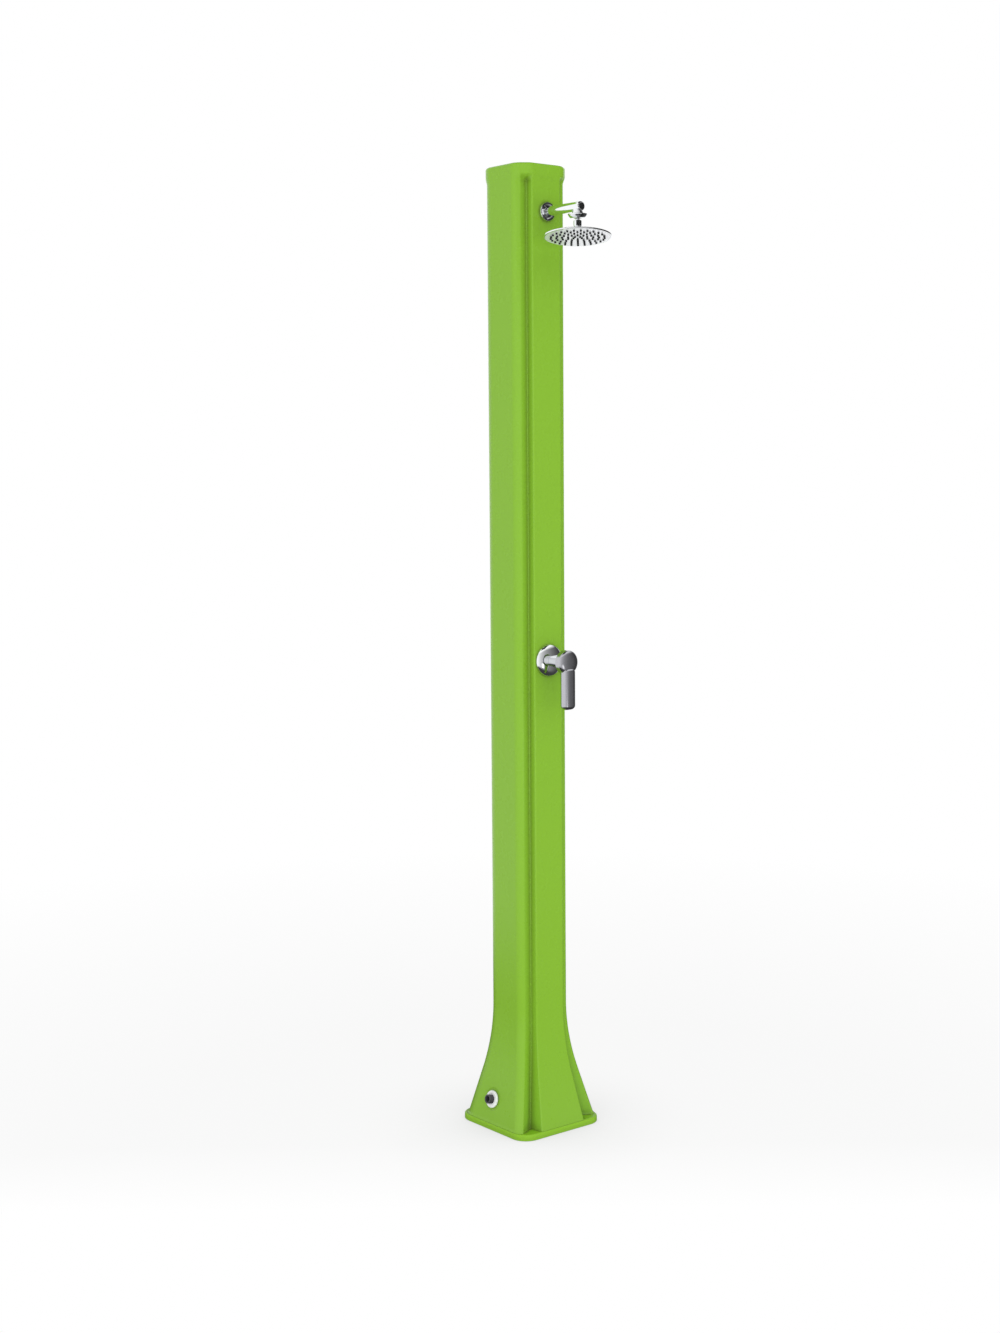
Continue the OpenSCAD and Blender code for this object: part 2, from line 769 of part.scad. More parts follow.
module cold_hose() {
    t = tail_pos(cold_deg);
    color("#9fb3c4")
    hose([
        cold_start, cold_turn, [cold_turn.x, cold_turn.y, cold_low],
        [t.x, mixed_back, cold_high], [t.x, mixed_back, t.z], [t.x, hose_start, t.z]
    ]);
}
module hot_hose() {
    t = tail_pos(hot_deg);
    color("#c48f8a")
    hose([[t.x, hose_start, t.z], [t.x, hot_back, t.z], [t.x, hot_back, post_h - hot_top_gap]]);
}
module mixed_hose() {
    t = tail_pos(mixed_deg);
    color("#b5b5b5")
    hose([
        [0, hose_start, t.z], [0, mixed_back, t.z], [0, mixed_back, mixed_low],
        [0, elbow_back, mixed_high], [0, elbow_back, elbow_tail_low]
    ]);
}
function tail_pos(deg) = [
    tail_circle_r * cos(deg), shank_in - col_half, mixer_up + tail_circle_r * sin(deg)
];

// The mixer's neck leaves the dome straight and opens in a long curve to the mouth
neck_outline = concat(
    [[0, mixer_flange_out], [neck_r, mixer_flange_out]],
    [for (i = [0:neck_steps]) let (t = i / neck_steps)
        [lerp(neck_r, mouth_r, (t + t * t) / 2), lerp(dome_h, mouth_out, t)]],
    [[0, mouth_out]]
);
module mixer_body() {
    color("#d9dcde")
    at_mixer() difference() {
        union() {
            rod(shank_r, -shank_in, mixer_gasket_t);
            rod(mixer_flange_r, mixer_gasket_t, mixer_flange_out);
            rotate_extrude() polygon(neck_outline);
            at_ways(tail_circle_r) rod(tail_r, -shank_in - tail_len, 0);
        }
        rod(cart_r + fit_gap, cart_low, mouth_out + over);
        rod(mouth_bore_r, mouth_deep, mouth_out + over);
        at_ways(tail_circle_r) rod(tail_bore_r, -shank_in - tail_len - over, 0);
        at_ways(waterway_circle_r) rod(waterway_r, -waterway_r, cart_low + over);
    }
}
module mixer_gasket() {
    color("#222222")
    at_mixer() tube(mixer_flange_r, shank_r + fit_gap, 0, mixer_gasket_t);
}
module mixer_locknut() {
    color("#c7a04a")
    at_mixer() hex_nut(mixer_nut_flats, shank_r + fit_gap, -wall - nut_gap - nut_t, -wall - nut_gap);
}
// Domed cover: a round cap with a small straight edge and a hole for the neck
function dome_outline(in) = concat(
    [[0, 0], [dome_r - in, 0]],
    [for (i = [0:dome_steps]) let (a = 90 * i / dome_steps)
        [(dome_r - in) * cos(a), dome_edge + (dome_h - dome_edge - in) * sin(a)]]
);
module mixer_dome() {
    color("#d9dcde")
    at_mixer() difference() {
        rotate_extrude() polygon(dome_outline(0));
        rotate_extrude() polygon(dome_outline(dome_t));
        rod(dome_hole_r, -over, dome_h + over);
    }
}

module cartridge_housing() {
    color("#e6e3d8")
    at_mixer() difference() {
        rod(cart_r, cart_low, pivot_out);
        rod(core_bore_r, cart_low + cart_floor, core_shoulder + disc_gap);
        rod(core_neck_r + running_gap, cart_low + cart_floor, pivot_out + over);
        at_ways(waterway_circle_r) rod(port_r, cart_low - over, cart_low + cart_floor + over);
    }
}
module cartridge_nut() {
    color("#c7a04a")
    at_mixer() difference() {
        rod(mouth_bore_r - fit_gap, mouth_deep + fit_gap, pivot_out + cart_nut_lid);
        rod(cart_r + fit_gap, mouth_deep, pivot_out);
        rod(core_neck_r + 2 * fit_gap, mouth_deep, pivot_out + cart_nut_lid + over);
    }
}
module fixed_disc() {
    color("#f2f0ea")
    at_mixer() difference() {
        rod(core_bore_r - fit_gap, cart_low + cart_floor, cart_low + cart_floor + disc_t);
        at_ways(waterway_circle_r) rod(port_r, cart_low, pivot_out);
    }
}
module moving_disc() {
    color("#dcd8cf")
    at_mixer() difference() {
        rod(moving_disc_r, disc_low, disc_low + disc_t);
        rod(2 * port_r, disc_low - over, disc_low + disc_t / 2);
    }
}
module cartridge_core() {
    color("#3d6db5")
    at_mixer() difference() {
        union() {
            rod(core_r, core_low, core_shoulder);
            rod(core_neck_r, core_low, core_top);
        }
        translate([-slot_w / 2, -slot_len / 2, core_low - over])
            cube([slot_w, slot_len, core_top - core_low + 2 * over]);
        translate([0, 0, pivot_out]) along_x() rod(pin_r + fit_gap / 2, -core_r, core_r);
    }
}
module pivot_pin() {
    color("#a9adb2")
    at_mixer() translate([0, 0, pivot_out]) along_x() rod(pin_r, -pin_half, pin_half);
}
// The spindle tilts on the pivot pin, and its square end carries the handle
module spindle() {
    foot = spindle_low + spindle_flat / 2;
    color("#b9bcc0")
    at_mixer() difference() {
        union() {
            translate([-spindle_flat / 2, -spindle_flat / 2, foot])
                cube([spindle_flat, spindle_flat, spindle_top - foot]);
            translate([-spindle_w / 2, -spindle_w / 2, spindle_neck])
                cube([spindle_w, spindle_w, spindle_top - spindle_neck]);
            translate([0, 0, foot]) sphere(r = spindle_flat / 2);
        }
        translate([0, 0, pivot_out]) along_x() rod(pin_r + running_gap, -core_r, core_r);
    }
}

// Lever: a bar with round edges and a round tip, which stands proud of the hub
module lever_bar() {
    side = lever_w / 2 - lever_r;
    thick = lever_t / 2 - lever_r;
    hull() for (x = [-side, side], y = [lever_top - lever_r, lever_r - lever_len], z = [-thick, thick])
        translate([x, y, lever_out + z]) sphere(r = lever_r, $fn = lever_facets);
}
// Hub: a short straight side, then a low dome over the front
hub_outline = concat(
    [[0, hub_low], [hub_r - hub_edge, hub_low], [hub_r, hub_low + hub_edge]],
    [for (i = [0:hub_steps]) let (a = 90 * i / hub_steps)
        [hub_r * pow(cos(a), hub_roundness), hub_out - hub_dome_h * (1 - sin(a))]]
);
module handle() {
    hole = spindle_w + 2 * fit_gap;
    color("#8b8f93")
    at_mixer() difference() {
        union() {
            difference() {
                union() {
                    rotate_extrude() polygon(hub_outline);
                    lever_bar();
                }
                translate([0, 0, pivot_out]) sphere(r = hub_hollow_r);
            }
            rod(socket_r, socket_low, hub_out - socket_sink);
        }
        translate([-hole / 2, -hole / 2, socket_low - over])
            cube([hole, hole, spindle_top - socket_low + over + fit_gap]);
        translate([0, 0, handle_screw_out]) along_x() rod(handle_screw_r + fit_gap, 0, hub_r + over);
    }
}
module handle_screw() {
    end = hub_r - hub_edge;
    color("#55585c")
    at_mixer() translate([0, 0, handle_screw_out]) along_x() difference() {
        rod(handle_screw_r, spindle_w / 2 + fit_gap, end);
        hex_bar(handle_screw_key, end - handle_screw_key, end + over);
    }
}

module shower_arm() {
    pipe_end = arm_out - arm_dome_h;
    color("#d9dcde")
    at_arm() difference() {
        union() {
            rod(arm_tail_r, -arm_tail, arm_gasket_t);
            rod(arm_r, 0, pipe_end);
            rod(arm_shoulder_r, arm_gasket_t, arm_gasket_t + arm_shoulder_t);
            translate([0, 0, pipe_end]) rotate_extrude() polygon(concat(
                [[0, 0]],
                [for (i = [0:dome_steps]) let (a = 90 * i / dome_steps) [arm_r * cos(a), arm_dome_h * sin(a)]]
            ));
            translate([0, 0, outlet_out]) along_front() rod(outlet_r, 0, outlet_low);
        }
        rod(arm_bore_r, -arm_tail - over, pipe_end - over);
        translate([0, 0, outlet_out]) along_front() {
            rod(outlet_bore_r, 0, outlet_low + over);
            rod(seal_seat_r, outlet_low - seal_seat_h, outlet_low + over);
        }
    }
}
module arm_gasket() {
    color("#222222")
    at_arm() tube(arm_shoulder_r, arm_r + fit_gap, 0, arm_gasket_t);
}
module arm_locknut() {
    color("#c7a04a")
    at_arm() hex_nut(arm_nut_flats, arm_tail_r + fit_gap, -wall - nut_gap - nut_t, -wall - nut_gap);
}
module arm_elbow() {
    color("#c7a04a")
    at_arm() difference() {
        union() {
            rod(elbow_r, -elbow_far, -elbow_near);
            translate([0, 0, -elbow_leg_at]) along_front() rod(elbow_leg_r, 0, elbow_drop);
            translate([0, 0, -elbow_leg_at]) along_front() rod(tail_r, 0, elbow_drop + tail_len);
        }
        rod(arm_tail_r + fit_gap, -arm_tail - fit_gap, over);
        rod(arm_bore_r, elbow_wall - elbow_far, 0);
        translate([0, 0, -elbow_leg_at]) along_front() rod(tail_bore_r, 0, elbow_drop + tail_len + over);
    }
}
// Round cover at the arm's root, with a thick lip and a dished face
module arm_flange() {
    lip = flange_out * flange_lip_share;
    dish = flange_out * flange_dish_share;
    root_r = arm_r + flange_gap;
    inner_r = arm_shoulder_r + flange_gap;
    color("#d9dcde")
    at_arm() rotate_extrude() polygon(concat(
        [[inner_r, 0], [flange_r, 0]],
        arc_pts([flange_r - lip, flange_out - lip], lip, 0, 90, flange_steps),
        [for (i = [1:flange_steps]) let (t = i / flange_steps)
            [lerp(flange_r - lip, root_r, t), flange_out - dish * sin(90 * t)]],
        [[root_r, flange_low], [inner_r, flange_low]]
    ));
}

// Collar: a bowl with a wide thin rim, bored for the outlet above and the ball inside
module ball_collar() {
    rim_low = collar_rim_up - collar_edge_t / 2;
    rim_high = collar_rim_up + collar_edge_t / 2;
    color("#d9dcde")
    at_ball() difference() {
        rotate_extrude() polygon(concat(
            [[0, -collar_low]],
            [for (i = [0:collar_steps]) let (t = i / collar_steps)
                [lerp(collar_neck_r, collar_r - collar_edge_soft, t),
                 lerp(-collar_low, rim_low, pow(t, collar_bowl_power))]],
            [[collar_r, rim_low + collar_edge_soft], [collar_r, rim_high - collar_edge_soft],
             [collar_r - collar_edge_soft, rim_high], [collar_neck_r, rim_high],
             [collar_neck_r, collar_top], [0, collar_top]]
        ));
        sphere(r = socket_sphere_r);
        rod(socket_sphere_r, 0, ball_drop - outlet_low);
        rod(collar_bore_r, 0, collar_top + over);
        rod(collar_hole_r, -collar_low - over, 0);
    }
}
module ball_seal() {
    color("#222222")
    at_ball() rotate_extrude() translate([seal_circle_r, seal_up]) circle(r = seal_r);
}
module ball_seat() {
    color("#f4f4f0")
    at_ball() rotate_extrude() polygon(concat(
        arc_pts([0, 0], seat_out_r, -seat_low_deg, seat_high_deg, seat_steps),
        arc_pts([0, 0], seat_in_r, seat_high_deg, -seat_low_deg, seat_steps)
    ));
}
module ball_stem() {
    color("#c9cdd0")
    at_head() difference() {
        union() {
            sphere(r = ball_r);
            rod(stem_r, -stem_flange_at, 0);
            rod(stem_flange_r, -stem_flange_at - stem_flange_t, -stem_flange_at);
        }
        rod(stem_bore_r, -head_drop, ball_r + over);
    }
}

module stem_nut() {
    color("#c9cdd0")
    at_head() difference() {
        union() {
            rod(nut_r, -nut_low, -nut_top - nut_bevel);
            rod(nut_r - nut_bevel, -nut_low, -nut_top);
        }
        rod(stem_r + fit_gap, -nut_low, -nut_top + over);
        rod(stem_flange_r + fit_gap, -nut_low - over, fit_gap - stem_flange_at);
    }
}
module stem_washer() {
    color("#222222")
    at_head() tube(spigot_r, stem_bore_r, -washer_low, washer_t - washer_low);
}
// Upper shell of the head: a low bell with a spigot on top and a water chamber below
back_outline = concat(
    [[stem_bore_r, -spigot_top], [spigot_r, -spigot_top], [spigot_r, -back_top]],
    [for (i = [0:back_steps]) let (t = i / back_steps)
        [lerp(back_hub_r, head_r - rim_round, t), -rim_top + (rim_top - back_top) * pow(1 - t, back_curve)]],
    [for (i = [1:rim_steps]) let (a = 90 - 90 * i / rim_steps)
        [head_r - rim_round * (1 - cos(a)), -rim_top - rim_round * (1 - sin(a))]],
    [for (i = [0:rim_steps]) let (a = -90 * i / rim_steps)
        [head_r - rim_low_round * (1 - cos(a)), rim_low_round * (1 + sin(a)) - head_drop]],
    [[head_r - skirt_t, -head_drop], [head_r - skirt_t, fit_gap - mat_low],
     [head_r - skirt_t - plate_seat, fit_gap - mat_low], [head_r - skirt_t - plate_seat, -chamber_top],
     [chamber_cone_r, -chamber_top], [stem_bore_r, -chamber_cone_top]]
);
module head_back() {
    color("#d9dcde")
    at_head() rotate_extrude() polygon(back_outline);
}
module at_nozzles() {
    for (k = [0:len(nozzle_counts) - 1], i = [0:nozzle_counts[k] - 1])
        rotate([0, 0, nozzle_start_deg + 360 * i / nozzle_counts[k]])
        translate([head_r * nozzle_ring_shares[k], 0, 0]) children();
}
module nozzle_mat() {
    color("#1d1d1f")
    at_head() union() {
        rod(head_r - skirt_t - plate_seat - plate_gap, fit_gap - mat_low, fit_gap - mat_low + mat_t);
        at_nozzles() rod(nozzle_r, -head_drop - nozzle_out, mat_t - mat_low);
    }
}
module head_plate() {
    color("#e1e4e6")
    at_head() difference() {
        rod(head_r - skirt_t - plate_gap, -head_drop, -mat_low);
        at_nozzles() rod(nozzle_r + 2 * fit_gap, -head_drop - over, over - mat_low);
    }
}

tank_shell();
base_plate();
base_screws();
anchor_inserts();
inlet_nipple();
inlet_rosette();
inlet_gasket();
inlet_locknut();
inlet_tee();
cold_hose();
hot_hose();
mixed_hose();
mixer_body();
mixer_gasket();
mixer_locknut();
mixer_dome();
cartridge_housing();
cartridge_nut();
fixed_disc();
cartridge_core();
moving_disc();
pivot_pin();
spindle();
handle();
handle_screw();
shower_arm();
arm_gasket();
arm_locknut();
arm_elbow();
arm_flange();
ball_collar();
ball_seal();
ball_seat();
ball_stem();
stem_nut();
stem_washer();
head_back();
nozzle_mat();
head_plate();
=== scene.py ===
"""Looks of an outdoor shower post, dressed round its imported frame. Lengths are in metres."""

import json
import logging
import math
from dataclasses import dataclass
from enum import Enum
from typing import Any, ClassVar, Sequence

import bpy
from mathutils import Matrix, Vector

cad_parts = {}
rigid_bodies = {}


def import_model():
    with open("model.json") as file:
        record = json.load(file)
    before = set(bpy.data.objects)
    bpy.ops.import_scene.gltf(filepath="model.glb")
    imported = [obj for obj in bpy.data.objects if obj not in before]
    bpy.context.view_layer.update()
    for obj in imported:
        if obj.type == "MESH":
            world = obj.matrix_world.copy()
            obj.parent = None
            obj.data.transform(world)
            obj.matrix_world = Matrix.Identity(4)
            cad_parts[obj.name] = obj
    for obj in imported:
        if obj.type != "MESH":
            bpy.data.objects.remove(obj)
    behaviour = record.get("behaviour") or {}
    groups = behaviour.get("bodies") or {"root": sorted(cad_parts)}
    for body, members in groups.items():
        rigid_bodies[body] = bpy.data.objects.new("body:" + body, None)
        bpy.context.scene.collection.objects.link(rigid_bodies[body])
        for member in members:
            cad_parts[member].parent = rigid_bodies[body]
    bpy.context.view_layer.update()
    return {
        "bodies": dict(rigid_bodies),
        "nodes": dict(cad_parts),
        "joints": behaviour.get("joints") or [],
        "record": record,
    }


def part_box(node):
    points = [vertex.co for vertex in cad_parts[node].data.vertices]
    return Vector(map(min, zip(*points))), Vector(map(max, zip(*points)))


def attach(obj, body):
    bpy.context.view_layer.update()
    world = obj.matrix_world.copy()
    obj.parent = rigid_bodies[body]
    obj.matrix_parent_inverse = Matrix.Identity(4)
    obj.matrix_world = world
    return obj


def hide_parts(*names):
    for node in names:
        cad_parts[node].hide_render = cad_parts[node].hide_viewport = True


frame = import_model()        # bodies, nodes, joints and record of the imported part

LOG = logging.getLogger("outdoor_shower_post")
MM = 0.001
FULL_TURN = 2 * math.pi
QUARTER = math.pi / 2

Pair = tuple[float, float]
Face = tuple[int, ...]
Setting = Any


class Body(Enum):
    """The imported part's bodies that scene pieces ride on."""

    POST = "root"
    HANDLE = "handle"
    STEM = "stem"
    HEAD = "head"


class Slot(Enum):
    """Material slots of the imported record."""

    GREEN = "moulded_green"
    BASE_GREEN = "base_green"
    CHROME = "chrome"
    HANDLE_CHROME = "chrome_handle"
    ARM_CHROME = "chrome_arm"
    FACE_CHROME = "chrome_face"
    NOZZLE = "nozzle_rubber"
    WHITE = "white_plastic"
    DARK = "dark_plastic"
    RUBBER = "black_rubber"
    BRASS = "brass_part"
    SCREW = "zinc_screw"
    STEEL = "steel_part"
    CERAMIC = "ceramic_white"
    CARTRIDGE = "cartridge_plastic"
    CORE = "core_plastic"
    COLD = "hose_cold"
    HOT = "hose_hot"
    MIXED = "hose_mixed"


class Cut(Enum):
    """What a cutter does to the object that it meets."""

    AWAY = "DIFFERENCE"
    JOINED = "UNION"


class Ray(Enum):
    """Kinds of light ray that a shader can tell apart."""

    CAMERA = "Is Camera Ray"
    GLOSSY = "Is Glossy Ray"
    TRANSMISSION = "Is Transmission Ray"


# Colours and shader nodes


@dataclass(frozen=True)
class Colour:
    """A colour as it is seen on a screen, from 0 to 255."""

    LEVELS: ClassVar[float] = 255
    TOE: ClassVar[float] = 0.04045
    TOE_SLOPE: ClassVar[float] = 12.92
    OFFSET: ClassVar[float] = 0.055
    GAMMA: ClassVar[float] = 2.4

    red: float
    green: float
    blue: float

    def linear(self, gain: float = 1.0) -> tuple[float, float, float, float]:
        """Returns the colour as light, times a gain, with an alpha of 1.

        Args:
            gain: What the light is multiplied by.

        Returns:
            Red, green and blue as light, and an alpha of 1.
        """
        channels = []
        for level in (self.red, self.green, self.blue):
            share = level / self.LEVELS
            light = ((share + self.OFFSET) / (1 + self.OFFSET)) ** self.GAMMA
            if share <= self.TOE:
                light = share / self.TOE_SLOPE
            channels.append(light * gain)
        return (channels[0], channels[1], channels[2], 1.0)


WHITE_LIGHT = Colour(255, 255, 255)


class Wire:
    """A number that runs from one shader node to the next, usable in Python sums."""

    def __init__(self, graph: "Graph", socket: bpy.types.NodeSocket) -> None:
        """Keeps the graph and the output socket that the number comes from."""
        self.graph = graph
        self.socket = socket

    def _math(self, operation: str, left: "Wire | float", right: "Wire | float") -> "Wire":
        """Returns the result of a Math node on two numbers."""
        return self.graph.node("ShaderNodeMath", {"operation": operation}, {0: left, 1: right})

    def __add__(self, other: "Wire | float") -> "Wire":
        """Returns this number plus another."""
        return self._math("ADD", self, other)

    def __radd__(self, other: float) -> "Wire":
        """Returns another number plus this one."""
        return self._math("ADD", other, self)

    def __sub__(self, other: "Wire | float") -> "Wire":
        """Returns this number minus another."""
        return self._math("SUBTRACT", self, other)

    def __rsub__(self, other: float) -> "Wire":
        """Returns another number minus this one."""
        return self._math("SUBTRACT", other, self)

    def __mul__(self, other: "Wire | float") -> "Wire":
        """Returns this number times another."""
        return self._math("MULTIPLY", self, other)

    def __rmul__(self, other: float) -> "Wire":
        """Returns another number times this one."""
        return self._math("MULTIPLY", other, self)

    def __truediv__(self, other: "Wire | float") -> "Wire":
        """Returns this number over another."""
        return self._math("DIVIDE", self, other)

    def __rtruediv__(self, other: float) -> "Wire":
        """Returns another number over this one."""
        return self._math("DIVIDE", other, self)

    def __pow__(self, other: "Wire | float") -> "Wire":
        """Returns this number to the power of another."""
        return self._math("POWER", self, other)

    def __rpow__(self, other: float) -> "Wire":
        """Returns another number to the power of this one."""
        return self._math("POWER", other, self)

    def at_most(self, other: "Wire | float") -> "Wire":
        """Returns the smaller of this number and another."""
        return self._math("MINIMUM", self, other)

    def at_least(self, other: "Wire | float") -> "Wire":
        """Returns the larger of this number and another."""
        return self._math("MAXIMUM", self, other)

    def clamped(self) -> "Wire":
        """Returns this number held between 0 and 1."""
        return self.at_least(0.0).at_most(1.0)

    def step(self, low: float, high: float) -> "Wire":
        """Returns a ramp from 0 at low to 1 at high, held outside them."""
        return ((self - low) / (high - low)).clamped()


class Graph:
    """The shader nodes of one material or of the world."""

    MIX_FACTOR = 0
    MIX_FIRST = 6
    MIX_SECOND = 7
    MIX_RESULT = 2
    CREASE_SAMPLES = 6

    def __init__(self, tree: bpy.types.NodeTree) -> None:
        """Empties the node tree and keeps it."""
        tree.nodes.clear()
        self.tree = tree

    def add(
        self,
        kind: str,
        settings: dict[str, Setting] | None = None,
        inputs: dict[int | str, Setting] | None = None,
    ) -> bpy.types.Node:
        """Adds one shader node. Every node of the graph is made here.

        Args:
            kind: The node's type name.
            settings: The node's own properties, which are set first.
            inputs: A number, colour or wire for each input, by name or place.

        Returns:
            The node.
        """
        made = self.tree.nodes.new(kind)
        for name, value in (settings or {}).items():
            setattr(made, name, value)
        for key, value in (inputs or {}).items():
            if isinstance(value, Wire):
                self.tree.links.new(value.socket, made.inputs[key])
            else:
                made.inputs[key].default_value = value
        return made

    def node(
        self,
        kind: str,
        settings: dict[str, Setting] | None = None,
        inputs: dict[int | str, Setting] | None = None,
        output: int | str = 0,
    ) -> Wire:
        """Adds one shader node that others are fed from.

        Args:
            kind: The node's type name.
            settings: The node's own properties, which are set first.
            inputs: A number, colour or wire for each input, by name or place.
            output: The output that the wire starts from, by name or place.

        Returns:
            The wire that leaves the node.
        """
        return Wire(self, self.add(kind, settings, inputs).outputs[output])

    def place(self) -> Wire:
        """Returns the surface point in the piece's own frame."""
        return self.node("ShaderNodeTexCoord", output="Object")

    def noise(self, size: float, detail: float = 2.0, roughness: float = 0.5) -> Wire:
        """Returns soft noise from 0 to 1 whose blotches are about size across.

        Args:
            size: About how wide a blotch is.
            detail: How many finer layers are added.
            roughness: How strong the finer layers are.

        Returns:
            The noise, from 0 to 1.
        """
        inputs = {
            "Vector": self.place(), "Scale": 1 / size, "Detail": detail, "Roughness": roughness,
        }
        return self.node("ShaderNodeTexNoise", {"noise_dimensions": "3D"}, inputs, "Fac")

    def cells(self, size: float) -> Wire:
        """Returns the distance to the nearest of many scattered points, in cell sizes."""
        inputs = {"Vector": self.place(), "Scale": 1 / size}
        return self.node("ShaderNodeTexVoronoi", {"feature": "F1"}, inputs, "Distance")

    def axis(self, way: Wire, name: str) -> Wire:
        """Returns one of a vector's three numbers, by its name."""
        return self.node("ShaderNodeSeparateXYZ", None, {0: way}, name)

    def is_ray(self, kind: Ray) -> Wire:
        """Returns 1 for rays of one kind and 0 for the rest."""
        return self.node("ShaderNodeLightPath", output=kind.value)

    def openness(self, reach: float) -> Wire:
        """Returns 1 on open surfaces and less in creases, looking as far as reach."""
        settings = {"samples": self.CREASE_SAMPLES, "only_local": False}
        return self.node("ShaderNodeAmbientOcclusion", settings, {"Distance": reach}, "AO")

    def blend(self, factor: Wire, first: Setting, second: Setting) -> Wire:
        """Returns the colour that lies between two others."""
        inputs = {self.MIX_FACTOR: factor, self.MIX_FIRST: first, self.MIX_SECOND: second}
        return self.node("ShaderNodeMix", {"data_type": "RGBA"}, inputs, self.MIX_RESULT)

    def bump(self, height: Wire, distance: float) -> Wire:
        """Returns the normal of a surface raised by height, times a distance."""
        inputs = {"Height": height, "Strength": 1.0, "Distance": distance}
        return self.node("ShaderNodeBump", None, inputs, "Normal")


# Finishes


@dataclass(frozen=True)
class Finish:
    """What every finish has: a name and a colour."""

    name: str
    colour: Colour

    def material(self) -> bpy.types.Material:
        """Returns a new material with this finish.

        Returns:
            The material, with its output linked.
        """
        made = bpy.data.materials.new(self.name)
        made.use_nodes = True
        graph = Graph(made.node_tree)
        graph.add("ShaderNodeOutputMaterial", None, {"Surface": self.shader(graph)})
        made.diffuse_color = self.colour.linear()
        return made

    def shader(self, graph: Graph) -> Wire:
        """Returns the finish's shader, a Principled one unless a finish has another."""
        return graph.node("ShaderNodeBsdfPrincipled", None, self.sockets(graph))

    def sockets(self, graph: Graph) -> dict[int | str, Setting]:
        """Returns the Principled shader's inputs, which each finish sets in its own way."""
        return {"Base Color": self.colour.linear()}


@dataclass(frozen=True)
class MouldedPlastic(Finish):
    """Through-coloured moulded plastic: faint mottling, a fine stipple, and shade painted darker into its
    creases.
    """

    roughness: float = 0.27
    ior: float = 1.5
    sheen: float = 0.33
    mottle: float = 0.012
    mottle_size: float = 0.11
    stipple_size: float = 0.0011
    stipple: float = 0.000007
    wave_size: float = 0.05
    wave: float = 0.00012
    dust: float = 0.05
    dust_top: float = 0.16
    dust_size: float = 0.012
    dust_colour: Colour = Colour(196, 200, 170)
    gloss_size: float = 0.03
    gloss_spread: float = 0.08
    # Painted shade: the colour is darkened in creases and hollows by how far the surface is hemmed in, less
    # strongly near the foot.
    crease_reach: float = 0.022
    crease_start: float = 0.12
    crease_shade_depth: float = 1.7
    foot_shade_depth: float = 1.1
    foot_top: float = 0.6
    crease_shade_colour: Colour = Colour(88, 98, 40)

    def sockets(self, graph: Graph) -> dict[int | str, Setting]:
        """Returns the shader's inputs for moulded plastic.

        Args:
            graph: The graph that the nodes are added to.

        Returns:
            The value or wire of each input, by name.
        """
        mottling = graph.noise(self.mottle_size, detail=3.0)
        base = graph.blend(
            mottling, self.colour.linear(1 - self.mottle), self.colour.linear(1 + self.mottle)
        )
        height = graph.axis(graph.place(), "Z")
        patches = graph.noise(self.dust_size, detail=4.0, roughness=0.65)
        dusty = ((1.0 - height.step(0.0, self.dust_top)) * patches * self.dust).clamped()
        # Painted shade: darkening in creases, weaker near the foot, mixed over the colour below.
        depth = height.step(0.0, self.foot_top) * (self.crease_shade_depth - self.foot_shade_depth) + self.foot_shade_depth
        crease = ((1.0 - graph.openness(self.crease_reach) - self.crease_start) * depth).clamped()
        grain = graph.noise(self.stipple_size, detail=1.0)
        waves = graph.noise(self.wave_size, detail=1.0)
        relief = grain * self.stipple + waves * self.wave
        gloss = graph.noise(self.gloss_size, detail=3.0) * self.gloss_spread
        dusted = graph.blend(dusty, base, self.dust_colour.linear())
        return {
            "Base Color": graph.blend(crease, dusted, self.crease_shade_colour.linear()),
            "Roughness": (gloss + dusty + (self.roughness - self.gloss_spread / 2)).clamped(),
            "IOR": self.ior,
            "Specular IOR Level": self.sheen,
            "Normal": graph.bump(relief, 1.0),
        }


@dataclass(frozen=True)
class PlainPlastic(Finish):
    """A small moulded piece with an even, slightly uneven gloss."""

    roughness: float = 0.4
    ior: float = 1.49
    mottle: float = 0.06
    mottle_size: float = 0.006
    gloss_size: float = 0.004
    gloss_spread: float = 0.1
    grain_size: float = 0.0006
    grain: float = 0.00001

    def sockets(self, graph: Graph) -> dict[int | str, Setting]:
        """Returns the shader's inputs for a small moulded piece.

        Args:
            graph: The graph that the nodes are added to.

        Returns:
            The value or wire of each input, by name.
        """
        mottling = graph.noise(self.mottle_size, detail=2.0)
        pale, full = self.colour.linear(1 - self.mottle), self.colour.linear(1 + self.mottle)
        gloss = graph.noise(self.gloss_size, detail=2.0) * self.gloss_spread
        return {
            "Base Color": graph.blend(mottling, pale, full),
            "Roughness": gloss + (self.roughness - self.gloss_spread / 2),
            "IOR": self.ior,
            "Normal": graph.bump(graph.noise(self.grain_size, detail=1.0), self.grain),
        }


